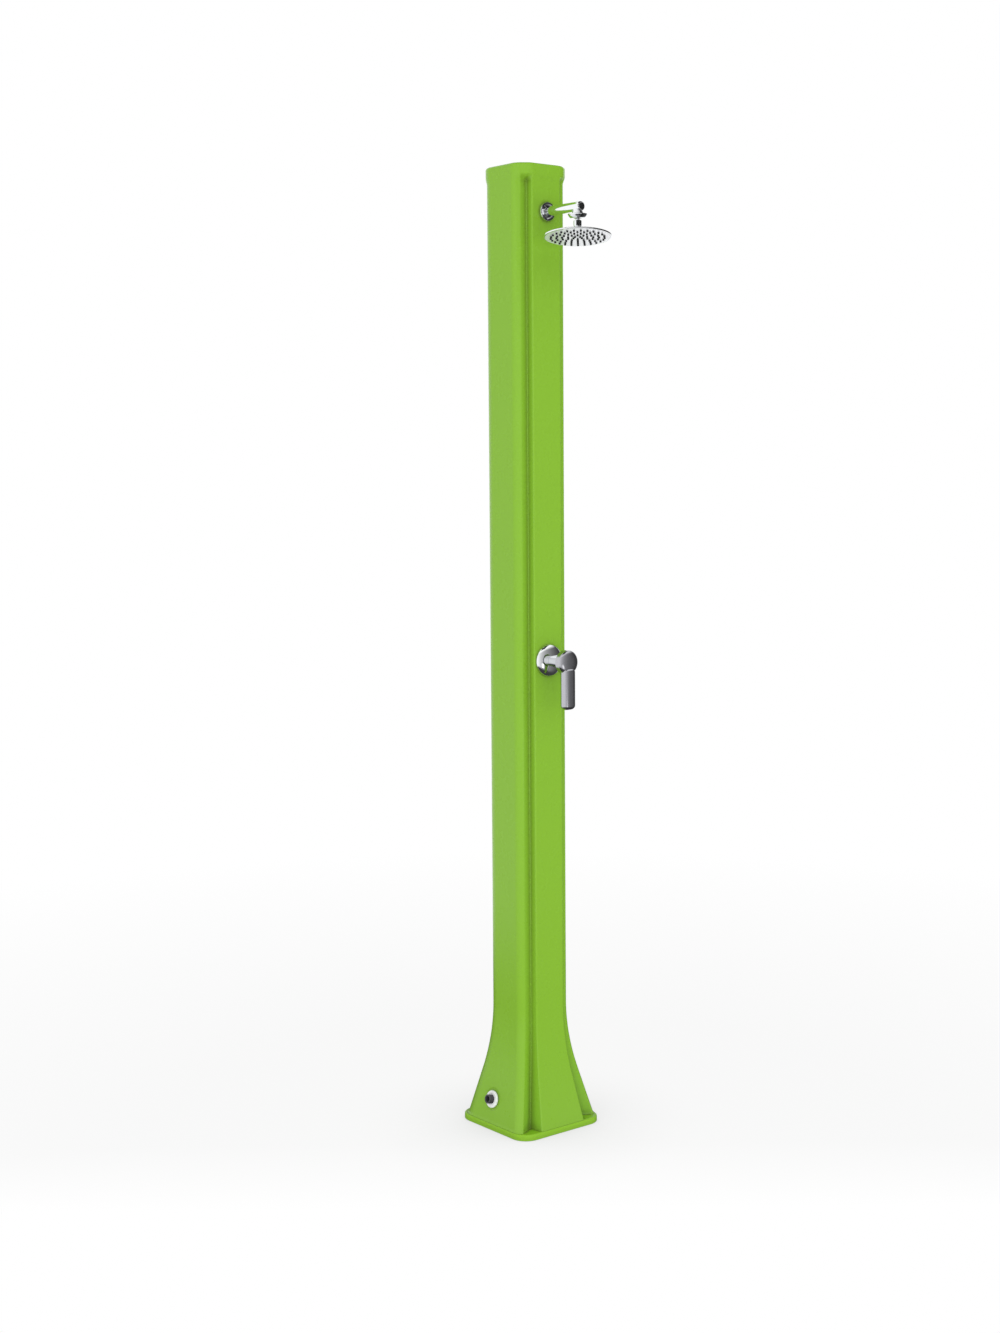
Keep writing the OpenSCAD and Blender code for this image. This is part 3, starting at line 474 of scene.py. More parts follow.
@dataclass(frozen=True)
class PolishedChrome(Finish):
    """Bright chrome plate with a few dried water spots and a faint haze."""

    roughness: float = 0.045
    haze: float = 0.05
    haze_size: float = 0.014
    haze_edge: Pair = (0.35, 0.85)
    spot_size: float = 0.009
    spot_share: float = 0.16
    spot_core_share: float = 0.128
    spot_patch: float = 0.03
    spot_edge: Pair = (0.52, 0.6)
    spot_tint: float = 0.3
    spot_light: float = 0.86
    spot_haze: float = 0.08
    metallic: float = 1.0
    wave_size: float = 0.02
    wave: float = 0.000006

    def sockets(self, graph: Graph) -> dict[int | str, Setting]:
        """Returns the shader's inputs for chrome plate.

        Args:
            graph: The graph that the nodes are added to.

        Returns:
            The value or wire of each input, by name.
        """
        near = graph.cells(self.spot_size)
        ring = 1.0 - near.step(self.spot_core_share, self.spot_share)
        spots = ring * graph.noise(self.spot_patch, detail=1.0).step(*self.spot_edge)
        haze = graph.noise(self.haze_size, detail=3.0).step(*self.haze_edge)
        dull = self.colour.linear(self.spot_light)
        return {
            "Base Color": graph.blend(spots * self.spot_tint, self.colour.linear(), dull),
            "Metallic": self.metallic,
            "Roughness": (haze * self.haze + spots * self.spot_haze + self.roughness).clamped(),
            "Normal": graph.bump(graph.noise(self.wave_size, detail=1.0), self.wave),
        }


@dataclass(frozen=True)
class TurnedMetal(Finish):
    """Turned or drawn metal that was left unpolished: fine marks and slight tarnish."""

    roughness: float = 0.3
    tarnish: float = 0.25
    stain_size: float = 0.008
    stain_edge: Pair = (0.4, 0.8)
    stain_haze: float = 0.15
    mark_size: float = 0.0005
    mark: float = 0.000012

    def sockets(self, graph: Graph) -> dict[int | str, Setting]:
        """Returns the shader's inputs for unpolished metal.

        Args:
            graph: The graph that the nodes are added to.

        Returns:
            The value or wire of each input, by name.
        """
        stain = graph.noise(self.stain_size, detail=4.0, roughness=0.6).step(*self.stain_edge)
        dull = self.colour.linear(1 - self.tarnish)
        return {
            "Base Color": graph.blend(stain, self.colour.linear(), dull),
            "Metallic": 1.0,
            "Roughness": stain * self.stain_haze + self.roughness,
            "Normal": graph.bump(graph.noise(self.mark_size, detail=2.0), self.mark),
        }


@dataclass(frozen=True)
class SoftRubber(Finish):
    """Matt rubber with a fine skin and a pale bloom."""

    roughness: float = 0.555
    ior: float = 1.45
    bloom: Colour = Colour(84, 84, 86)
    bloom_size: float = 0.003
    bloom_edge: Pair = (0.5, 0.9)
    bloom_share: float = 0.25
    gloss_size: float = 0.002
    gloss_spread: float = 0.15
    grain_size: float = 0.0004
    grain: float = 0.000008

    def sockets(self, graph: Graph) -> dict[int | str, Setting]:
        """Returns the shader's inputs for rubber.

        Args:
            graph: The graph that the nodes are added to.

        Returns:
            The value or wire of each input, by name.
        """
        bloom = graph.noise(self.bloom_size, detail=3.0).step(*self.bloom_edge) * self.bloom_share
        gloss = graph.noise(self.gloss_size, detail=2.0) * self.gloss_spread
        return {
            "Base Color": graph.blend(bloom, self.colour.linear(), self.bloom.linear()),
            "Roughness": gloss + (self.roughness - self.gloss_spread / 2),
            "IOR": self.ior,
            "Normal": graph.bump(graph.noise(self.grain_size, detail=1.0), self.grain),
        }


@dataclass(frozen=True)
class Palette:
    """One finish for each material slot."""

    green: Colour = Colour(136, 189, 47)
    plate: Colour = Colour(140, 196, 30)
    silver: Colour = Colour(236, 238, 240)
    lever: Colour = Colour(184, 184, 190)
    face: Colour = Colour(238, 239, 244)
    brass: Colour = Colour(214, 180, 108)

    def finishes(self) -> dict[Slot, Finish]:
        """Returns the finish of each slot.

        Returns:
            The finishes, by slot.
        """
        return {
            Slot.GREEN: MouldedPlastic("Green moulded plastic", self.green),
            # The base plate's painted shade darkens its top where the column stands on it, and fades out
            # towards the floor.
            Slot.BASE_GREEN: MouldedPlastic(
                "Green base plastic", self.plate, roughness=0.4, crease_reach=0.011, crease_start=0.05,
                crease_shade_depth=3.0, foot_shade_depth=0.0, foot_top=0.017,
            ),
            Slot.CHROME: PolishedChrome("Polished chrome", self.silver),
            Slot.HANDLE_CHROME: PolishedChrome("Handle chrome", self.lever, roughness=0.16),
            Slot.ARM_CHROME: PolishedChrome("Arm chrome", self.silver, roughness=0.035),
            Slot.FACE_CHROME: PolishedChrome("Satin face", self.face, roughness=0.3, metallic=0.4),
            Slot.NOZZLE: SoftRubber("Black nozzle rubber", Colour(20, 20, 22)),
            Slot.WHITE: PlainPlastic("White plastic", Colour(250, 251, 251), roughness=0.25),
            Slot.DARK: PlainPlastic("Dark grey plastic", Colour(74, 72, 78)),
            Slot.RUBBER: SoftRubber("Black seal rubber", Colour(28, 28, 28)),
            Slot.BRASS: TurnedMetal("Turned brass", self.brass),
            Slot.SCREW: TurnedMetal("Zinc plate", Colour(196, 199, 204), tarnish=0.15),
            Slot.STEEL: TurnedMetal("Stainless steel", Colour(188, 190, 194), tarnish=0.1),
            Slot.CERAMIC: PlainPlastic("Lapped ceramic", Colour(240, 238, 230), roughness=0.15),
            Slot.CARTRIDGE: PlainPlastic("Cartridge plastic", Colour(232, 229, 216)),
            Slot.CORE: PlainPlastic("Blue cartridge plastic", Colour(70, 116, 182)),
            Slot.COLD: SoftRubber("Cold hose", Colour(166, 184, 200), bloom=Colour(190, 204, 214)),
            Slot.HOT: SoftRubber("Hot hose", Colour(200, 152, 146), bloom=Colour(214, 178, 172)),
            Slot.MIXED: SoftRubber("Mixed hose", Colour(186, 186, 186), bloom=Colour(206, 206, 206)),
        }


# Meshes


@dataclass
class Skin:
    """A mesh in the making: its points and its faces."""

    points: list[Vector]
    faces: list[Face]

    @classmethod
    def from_object(cls, made: bpy.types.Object) -> "Skin":
        """Returns the skin of an object, and removes the object.

        Args:
            made: The object, which is removed.

        Returns:
            The skin that it had.
        """
        points = [vertex.co.copy() for vertex in made.data.vertices]
        faces = [tuple(polygon.vertices) for polygon in made.data.polygons]
        bpy.data.objects.remove(made)
        return cls(points, faces)

    def moved(self, matrix: Matrix) -> "Skin":
        """Returns the skin carried by a matrix."""
        return Skin([matrix @ point for point in self.points], list(self.faces))

    def with_skin(self, other: "Skin") -> "Skin":
        """Returns this skin and another as one.

        Args:
            other: The skin that is added.

        Returns:
            One skin with both.
        """
        start = len(self.points)
        shifted = [tuple(start + i for i in face) for face in other.faces]
        return Skin(self.points + other.points, self.faces + shifted)

    def flipped(self) -> "Skin":
        """Returns the skin turned inside out."""
        return Skin(list(self.points), [tuple(reversed(face)) for face in self.faces])

    def to_object(self, name: str) -> bpy.types.Object:
        """Returns a new object with this skin, in the scene.

        Args:
            name: The object's name.

        Returns:
            The object.
        """
        mesh = bpy.data.meshes.new(name)
        mesh.from_pydata([tuple(p) for p in self.points], [], self.faces)
        mesh.validate()
        made = bpy.data.objects.new(name, mesh)
        bpy.context.scene.collection.objects.link(made)
        return made


@dataclass(frozen=True)
class Corner:
    """A point of a turned outline: radius, height and the rounding there."""

    radius: float
    height: float
    fillet: float = 0.0


class Outline:
    """The profile of a turned piece, as radius and height, drawn from start to end."""

    FILLET_STEPS = 6
    ROOM_SHARE = 0.49
    STRAIGHT = 1e-6
    ON_AXIS = 1e-7

    def __init__(self, corners: Sequence[Corner], ring: bool = False) -> None:
        """Keeps the corners. A ring's outline closes on itself and never meets the axis."""
        self.corners = list(corners)
        self.ring = ring

    def points(self) -> list[Pair]:
        """Returns the outline's points, with each rounding as an arc.

        Returns:
            Radius and height of each point, from start to end.
        """
        count = len(self.corners)
        found: list[Pair] = []
        for i, corner in enumerate(self.corners):
            here = Vector((corner.radius, corner.height))
            inner = self.ring or 0 < i < count - 1
            if corner.fillet <= 0 or not inner:
                found.append((here.x, here.y))
                continue
            before = self.corners[i - 1]
            after = self.corners[(i + 1) % count]
            ends = [Vector((c.radius, c.height)) for c in (before, after)]
            found.extend(self._arc(here, ends, corner.fillet))
        return found

    def _arc(self, here: Vector, ends: Sequence[Vector], fillet: float) -> list[Pair]:
        """Returns the arc that rounds one corner between its two neighbours.

        Args:
            here: The corner.
            ends: The corners before and after it.
            fillet: The rounding's radius.

        Returns:
            The arc's points, or the corner itself where the outline runs straight on.
        """
        back, ahead = ((end - here).normalized() for end in ends)
        half = math.acos(max(-1.0, min(1.0, back.dot(ahead)))) / 2
        room = self.ROOM_SHARE * min((end - here).length for end in ends)
        reach = min(fillet / math.tan(half), room)
        radius = reach * math.tan(half)
        middle = (back + ahead).normalized()
        centre = here + middle * (radius / math.sin(half))
        start, stop = here + back * reach - centre, here + ahead * reach - centre
        span = math.acos(max(-1.0, min(1.0, start.normalized().dot(stop.normalized()))))
        if span < self.STRAIGHT:
            return [(here.x, here.y)]
        arc = []
        for k in range(self.FILLET_STEPS + 1):
            share = k / self.FILLET_STEPS
            point = (
                start * math.sin((1 - share) * span) + stop * math.sin(share * span)
            ) / math.sin(span)
            arc.append((centre.x + point.x, centre.y + point.y))
        return arc

    def turned(self, sides: int = 96) -> Skin:
        """Returns the solid that the outline sweeps out round its axis.

        Args:
            sides: How many points go round.

        Returns:
            The skin, facing out where the outline rises outside.
        """
        outline = self.points()
        points: list[Vector] = []
        rows: list[list[int]] = []
        for radius, height in outline:
            if radius < self.ON_AXIS:
                rows.append([len(points)])
                points.append(Vector((0, 0, height)))
                continue
            rows.append(list(range(len(points), len(points) + sides)))
            for k in range(sides):
                angle = FULL_TURN * k / sides
                points.append(Vector((radius * math.cos(angle), radius * math.sin(angle), height)))
        pairs = list(zip(rows, rows[1:]))
        if self.ring:
            pairs.append((rows[-1], rows[0]))
        faces: list[Face] = []
        for low, high in pairs:
            faces.extend(joined_rows(low, high))
        return Skin(points, faces)


def rod(radius: float, low: float, high: float, sides: int = 96) -> Skin:
    """Returns a plain round bar along the axis, which cuts a hole."""
    corners = [Corner(0, low), Corner(radius, low), Corner(radius, high), Corner(0, high)]
    return Outline(corners).turned(sides)


def joined_rows(low: Sequence[int], high: Sequence[int]) -> list[Face]:
    """Returns the faces between two rings of points, either of which may be a single point.

    Args:
        low: Places of the first ring's points.
        high: Places of the second ring's points.

    Returns:
        The faces, each as places of points.
    """
    count = max(len(low), len(high))
    if count == 1:
        return []
    faces: list[Face] = []
    for k in range(count):
        after = (k + 1) % count
        if len(low) == 1:
            faces.append((low[0], high[after], high[k]))
        elif len(high) == 1:
            faces.append((low[k], low[after], high[0]))
        else:
            faces.append((low[k], low[after], high[after], high[k]))
    return faces


def lofted(rings: Sequence[Sequence[Vector]], closed: bool = True) -> Skin:
    """Returns the skin through a stack of rings with equal numbers of points.

    Args:
        rings: The rings, from one end to the other.
        closed: Whether both ends get a flat face.

    Returns:
        The skin, facing out where the rings turn anticlockwise round the way they are stacked.
    """
    count = len(rings[0])
    points = [point for ring in rings for point in ring]
    rows = [list(range(k * count, (k + 1) * count)) for k in range(len(rings))]
    faces: list[Face] = []
    for low, high in zip(rows, rows[1:]):
        faces.extend(joined_rows(low, high))
    if closed:
        faces.append(tuple(reversed(rows[0])))
        faces.append(tuple(rows[-1]))
    return Skin(points, faces)


def arc(centre: Pair, radius: float, start: float, stop: float, steps: int) -> list[Vector]:
    """Returns points on an arc in the plane, from one angle to another, in degrees.

    Args:
        centre: The arc's centre.
        radius: The arc's radius.
        start: The first angle.
        stop: The last angle.
        steps: How many pieces the arc has.

    Returns:
        The arc's points.
    """
    found = []
    for k in range(steps + 1):
        angle = math.radians(start + (stop - start) * k / steps)
        place = (centre[0] + radius * math.cos(angle), centre[1] + radius * math.sin(angle))
        found.append(Vector(place))
    return found


def softened(here: Vector, before: Vector, after: Vector, reach: float, steps: int) -> list[Vector]:
    """Returns a short curve that replaces a sharp corner of a plane outline.

    Args:
        here: The corner.
        before: The corner before it.
        after: The corner after it.
        reach: How far the curve starts from the corner.
        steps: How many pieces the curve has.

    Returns:
        The curve's points.
    """
    start = here + (before - here).normalized() * reach
    stop = here + (after - here).normalized() * reach
    found = []
    for k in range(steps + 1):
        t = k / steps
        found.append(start * (1 - t) ** 2 + here * 2 * t * (1 - t) + stop * t**2)
    return found


def between(first: float, second: float, share: float) -> float:
    """Returns the value that lies a share of the way from the first to the second."""
    return first + (second - first) * share


def carved(target: bpy.types.Object, cutter: Skin, cut: Cut = Cut.AWAY) -> None:
    """Cuts a skin out of an object, or joins it on, and keeps the result as its mesh.

    Args:
        target: The object that is cut.
        cutter: The skin that cuts it.
        cut: Whether the cutter is taken away or joined on.
    """
    tool = cutter.to_object(target.name + "_cutter")
    modifier = target.modifiers.new("Cut", "BOOLEAN")
    modifier.object = tool
    modifier.operation = cut.value
    modifier.solver = "EXACT"
    graph = bpy.context.evaluated_depsgraph_get()
    result = bpy.data.meshes.new_from_object(target.evaluated_get(graph))
    target.modifiers.clear()
    target.data = result
    bpy.data.objects.remove(tool)


def smoothed(target: bpy.types.Object, crease: float = 34.0) -> None:
    """Shades an object smooth but for creases sharper than an angle, and evens its normals.

    Args:
        target: The object.
        crease: The least angle of a crease, in degrees.
    """
    mesh = target.data
    mesh.shade_smooth()
    mesh.set_sharp_from_angle(angle=math.radians(crease))
    modifier = target.modifiers.new("Even normals", "WEIGHTED_NORMAL")
    modifier.keep_sharp = True
    modifier.weight = 100


class Workshop:
    """Gives finished pieces their names, finishes, bodies and the nodes they stand for."""

    def __init__(self, palette: Palette) -> None:
        """Makes one material for each slot."""
        self.materials = {slot: f.material() for slot, f in palette.finishes().items()}

    def piece(
        self, skin: Skin | bpy.types.Object, name: str, slot: Slot, body: Body, stands_for: Sequence[str]
    ) -> bpy.types.Object:
        """Finishes one piece.

        Args:
            skin: The piece's skin, or its object where it's made already.
            name: The piece's name.
            slot: The slot that it takes its finish from.
            body: The body that it rides on.
            stands_for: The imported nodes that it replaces.

        Returns:
            The piece's object.
        """
        made = skin.to_object(name) if isinstance(skin, Skin) else skin
        smoothed(made)
        made.data.materials.clear()
        made.data.materials.append(self.materials[slot])
        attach(made, body.value)
        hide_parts(*stands_for)
        LOG.info("%s: %d faces on %s", name, len(made.data.polygons), body.value)
        return made

    def dress_nodes(self, nodes: dict[str, bpy.types.Object], record: dict[str, Any]) -> None:
        """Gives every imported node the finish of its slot.

        Args:
            nodes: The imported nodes' objects, by name.
            record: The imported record.
        """
        for part in record["subparts"]:
            node = nodes[part["node"]]
            node.data.materials.clear()
            node.data.materials.append(self.materials[Slot(part["material_slot"])])
        LOG.info("dressed %d packed nodes", len(record["subparts"]))


# Frames of the fittings


@dataclass(frozen=True)
class Places:
    """Places and directions of the fittings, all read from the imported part."""

    UP: ClassVar[Vector] = Vector((0, 0, 1))
    OUT: ClassVar[Vector] = Vector((0, -1, 0))

    panel: float
    mixer_up: float
    arm_up: float
    ball: Vector
    head_axis: Vector
    inlet: Vector
    inlet_axis: Vector

    @classmethod
    def from_frame(cls, packed: dict[str, Any]) -> "Places":
        """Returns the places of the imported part.

        Args:
            packed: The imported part, as it was loaded.

        Returns:
            The places.
        """
        joints = {joint["name"]: joint for joint in packed["joints"]}
        mounts = {mount["name"]: mount for mount in packed["record"]["mounts"]}
        arm_low, arm_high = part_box("arm_gasket")
        return cls(
            panel=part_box("mixer_gasket")[1].y,
            mixer_up=joints["temperature_turn"]["pos_m"][2],
            arm_up=(arm_low.z + arm_high.z) / 2,
            ball=Vector(joints["head_nod"]["pos_m"]),
            head_axis=Vector(joints["head_spin"]["axis"]).normalized(),
            inlet=Vector(mounts["water_inlet"]["pos_m"]),
            inlet_axis=Vector(mounts["water_inlet"]["axis"]).normalized(),
        )

    @staticmethod
    def frame_at(origin: Vector, along: Vector, up: Vector) -> Matrix:
        """Returns the frame at a point whose z axis runs along one way and y axis near another.

        Args:
            origin: The frame's origin.
            along: The way that its z axis runs.
            up: The way that its y axis comes nearest to.

        Returns:
            The frame.
        """
        z = along.normalized()
        x = up.cross(z).normalized()
        y = z.cross(x)
        turn = Matrix((x, y, z)).transposed().to_4x4()
        return Matrix.Translation(origin) @ turn

    def mixer(self) -> Matrix:
        """Returns the mixer's frame, which starts at the panel and points out of it."""
        return self.frame_at(Vector((0, self.panel, self.mixer_up)), self.OUT, self.UP)

    def arm(self) -> Matrix:
        """Returns the arm's frame, which starts at the panel and points out of it."""
        return self.frame_at(Vector((0, self.panel, self.arm_up)), self.OUT, self.UP)

    def head(self) -> Matrix:
        """Returns the head's frame, which starts at the ball and points up the stem."""
        return self.frame_at(self.ball, self.head_axis, -self.OUT)

    def inlet_face(self, proud: float) -> Matrix:
        """Returns the inlet's frame, a distance behind the nipple's end and pointing out of it."""
        return self.frame_at(self.inlet - self.inlet_axis * proud, self.inlet_axis, self.UP)


# Sub-assemblies


@dataclass
class Column:
    """The moulded column: a grooved section that flares at the foot and runs out at the crown."""

    half: float = 73 * MM
    back_radius: float = 41 * MM
    front_radius: float = 21 * MM
    panel: float = 81 * MM
    groove: float = 18 * MM
    lean: float = 2 * MM
    set_back: float = 17 * MM
    foot_half: float = 118 * MM
    foot_back_radius: float = 48 * MM
    foot_panel: float = 127 * MM
    foot_groove: float = 36 * MM
    foot_lean: float = 7 * MM
    flare: float = 271 * MM
    flare_curve_share: float = 0.6
    lip: float = 1.5 * MM
    lip_height: float = 6 * MM
    lip_shares: tuple[float, ...] = (0, 0.15, 0.3, 0.5, 0.75)
    crown_out: float = 2 * MM
    crown: float = 22 * MM
    taper: float = 17 * MM
    crown_edge: float = 6 * MM
    wall: float = 4 * MM
    panel_edge: float = 3 * MM
    groove_floor: float = 3 * MM
    apex: float = 2 * MM
    apex_angle: float = 66.0
    apex_soft: float = 8.0
    seat_radius: float = 26 * MM
    seat_depth: float = 1.2 * MM
    seat_edge: float = 1.6 * MM
    seat_lap: float = 0.02 * MM
    cut_clear: float = 8 * MM
    panel_steps: int = 8
    groove_steps: int = 8
    apex_steps: int = 6
    corner_steps: int = 18
    back_steps: int = 28
    flare_steps: int = 36
    crown_steps: int = 14
    edge_steps: int = 8
    inner_flare_steps: int = 12
    inner_crown_steps: int = 6
    seat_sides: int = 128
    mixer_hole: float = 16.6 * MM
    arm_hole: float = 10.9 * MM
    inlet_hole: float = 11.05 * MM

    @property
    def bottom(self) -> float:
        """Height of the column's foot, on top of the base plate."""
        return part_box("tank_shell")[0].z

    @property
    def top(self) -> float:
        """Height of the crown's top."""
        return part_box("tank_shell")[1].z

    def flare_share(self, height: float) -> float:
        """Returns how far the flare has opened at a height, from 0 to 1 at the plate.

        Args:
            height: The height above the ground.

        Returns:
            The share, from 0 above the flare to 1 at the plate.
        """
        t = (self.bottom + self.flare - height) / self.flare
        curve = self.flare_curve_share
        full = 1 - curve / 2
        if t <= 0:
            return 0.0
        return (t * t / (2 * curve) if t < curve else t - curve / 2) / full

    def half_at(self, height: float) -> float:
        """Returns half the column's width at a height."""
        return between(self.half, self.foot_half, self.flare_share(height))

    def half_section(self, half: float, foot: float, inset: float) -> list[Vector]:
        """Returns the right half of the section, from the front panel round to the back.

        Args:
            half: Half the section's width.
            foot: Blend from the column's section, 0, to the foot's, 1.
            inset: Distance that the outline is drawn in.

        Returns:
            The outline's points.
        """
        h = half - inset
        edge_x = between(self.panel, self.foot_panel, foot) / 2 - inset
        depth = between(self.groove, self.foot_groove, foot)
        lean = between(self.lean, self.foot_lean, foot)
        front = self.front_radius - inset
        back = between(self.back_radius, self.foot_back_radius, foot) - inset
        angle = math.radians(self.apex_angle)
        edge = Vector((edge_x, -h))
        floor = Vector((edge_x + lean, depth - h))
        centre = Vector((h - front, self.set_back + front * math.sin(angle) - h))
        apex = centre + front * Vector((math.cos(angle), -math.sin(angle)))
        past = self.apex_angle - self.apex_soft
        past_angle = math.radians(past)
        beyond = centre + front * Vector((math.cos(past_angle), -math.sin(past_angle)))
        return (
            softened(edge, Vector((0, -h)), floor, self.panel_edge, self.panel_steps)
            + softened(floor, edge, apex, self.groove_floor, self.groove_steps)
            + softened(apex, floor, beyond, self.apex, self.apex_steps)
            + arc((centre.x, centre.y), front, -past, 0, self.corner_steps)
            + arc((h - back, h - back), back, 0, 90, self.back_steps)
        )

    @staticmethod
    def ungrooved(point: Vector, half: float, radius: float) -> Vector:
        """Returns the same point on a section that has no grooves.

        Args:
            point: The point on the grooved section.
            half: Half the section's width.
            radius: The section's corner radius.

        Returns:
            The point on the plain section.
        """
        centre = Vector((half - radius, radius - half))
        if point.y > centre.y:
            return point
        if point.x <= centre.x:
            return Vector((point.x, -half))
        return centre + (point - centre).normalized() * radius

    def ring(self, height: float, half: float, foot: float, plain: float, inset: float) -> list[Vector]:
        """Returns one closed ring of the column, blended from grooved, 0, to plain, 1.

        Args:
            height: The height above the ground.
            half: Half the section's width.
            foot: Blend from the column's section, 0, to the foot's, 1.
            plain: Blend from the grooved section, 0, to the plain one, 1.
            inset: Distance that the outline is drawn in.

        Returns:
            The ring's points.
        """
        radius = between(self.back_radius, self.foot_back_radius, foot) - inset
        right = []
        for point in self.half_section(half, foot, inset):
            bare = self.ungrooved(point, half - inset, radius)
            right.append(point.lerp(bare, plain))
        left = [Vector((-point.x, point.y)) for point in reversed(right)]
        return [Vector((point.x, point.y, height)) for point in right + left]

    def crown_ring(self, share: float, inset: float) -> list[Vector]:
        """Returns a ring of the taper under the crown, where the grooves run out.

        Args:
            share: How far up the taper the ring is, from 0 to 1.
            inset: Distance that the outline is drawn in.

        Returns:
            The ring's points.
        """
        low, high = self.top - self.crown - self.taper, self.top - self.crown
        soft = share * share * (3 - 2 * share)
        height = between(low, high, share)
        return self.ring(height, self.half + self.crown_out * soft, 0, soft, inset)

    def outside(self) -> Skin:
        """Returns the column's outer skin.

        Returns:
            The skin, closed below and above.
        """
        rings = []
        for share in self.lip_shares:
            height = self.bottom + share * self.lip_height
            half = self.half_at(height) + self.lip * (1 - share) ** 2
            rings.append(self.ring(height, half, self.flare_share(height), 0, 0))
        for k in range(self.flare_steps + 1):
            share = k / self.flare_steps
            height = between(self.bottom + self.lip_height, self.bottom + self.flare, share)
            rings.append(self.ring(height, self.half_at(height), self.flare_share(height), 0, 0))
        rings += [self.crown_ring(k / self.crown_steps, 0) for k in range(self.crown_steps + 1)]
        for k in range(self.edge_steps + 1):
            angle = QUARTER * k / self.edge_steps
            inset = self.crown_edge * (1 - math.cos(angle))
            height = self.top - self.crown_edge * (1 - math.sin(angle))
            rings.append(self.ring(height, self.half + self.crown_out, 0, 1, inset))
        inner = self.ring(self.top, self.half + self.crown_out, 0, 1, 4 * self.crown_edge)
        return lofted(rings + [inner])

    def inside(self) -> Skin:
        """Returns the tank's inner skin, facing the water.

        Returns:
            The skin, which faces the water.
        """
        rings = []
        for k in range(self.inner_flare_steps + 1):
            share = k / self.inner_flare_steps
            height = between(self.bottom + self.wall, self.bottom + self.flare, share)
            rings.append(self.ring(height, self.half_at(height), self.flare_share(height), 0, self.wall))
        steps = self.inner_crown_steps
        rings += [self.crown_ring(k / steps, self.wall) for k in range(steps + 1)]
        rings.append(self.ring(self.top - self.wall, self.half + self.crown_out, 0, 1, self.wall))
        return lofted(rings).flipped()

    def seat(self) -> Outline:
        """Returns the outline of the inlet's round seat, with the hole in its middle.

        Returns:
            The outline, in the inlet's frame.
        """
        deep = 2 * self.wall
        return Outline([
            Corner(0, -deep), Corner(self.inlet_hole, -deep), Corner(self.inlet_hole, -self.seat_depth),
            Corner(self.seat_radius - self.seat_edge, -self.seat_depth, self.seat_edge),
            Corner(self.seat_radius, -self.seat_depth / 3, self.seat_edge),
            Corner(self.seat_radius + self.seat_edge, self.seat_lap),
            Corner(self.seat_radius + 2 * self.seat_edge, self.cut_clear), Corner(0, self.cut_clear),
        ])

    def cuts(self, places: Places, inlet_face: Matrix) -> Skin:
        """Returns what is cut out of the column: the inlet's seat and the three fittings' holes.

        Args:
            places: The places of the fittings.
            inlet_face: The frame where the inlet leaves the column.

        Returns:
            All the cutters, as one skin.
        """
        mixer = rod(self.mixer_hole, -self.groove, self.cut_clear)
        arm = rod(self.arm_hole, -self.groove, self.cut_clear)
        seat = self.seat().turned(self.seat_sides).moved(inlet_face)
        return seat.with_skin(mixer.moved(places.mixer())).with_skin(arm.moved(places.arm()))

    def make(self, shop: Workshop, places: Places, inlet_face: Matrix) -> None:
        """Builds the column and dresses it.

        Args:
            shop: The workshop that finishes the pieces.
            places: The places of the fittings.
            inlet_face: The frame where the inlet leaves the column.
        """
        made = self.outside().with_skin(self.inside()).to_object("column")
        carved(made, self.cuts(places, inlet_face))
        shop.piece(made, "column", Slot.GREEN, Body.POST, ["tank_shell"])


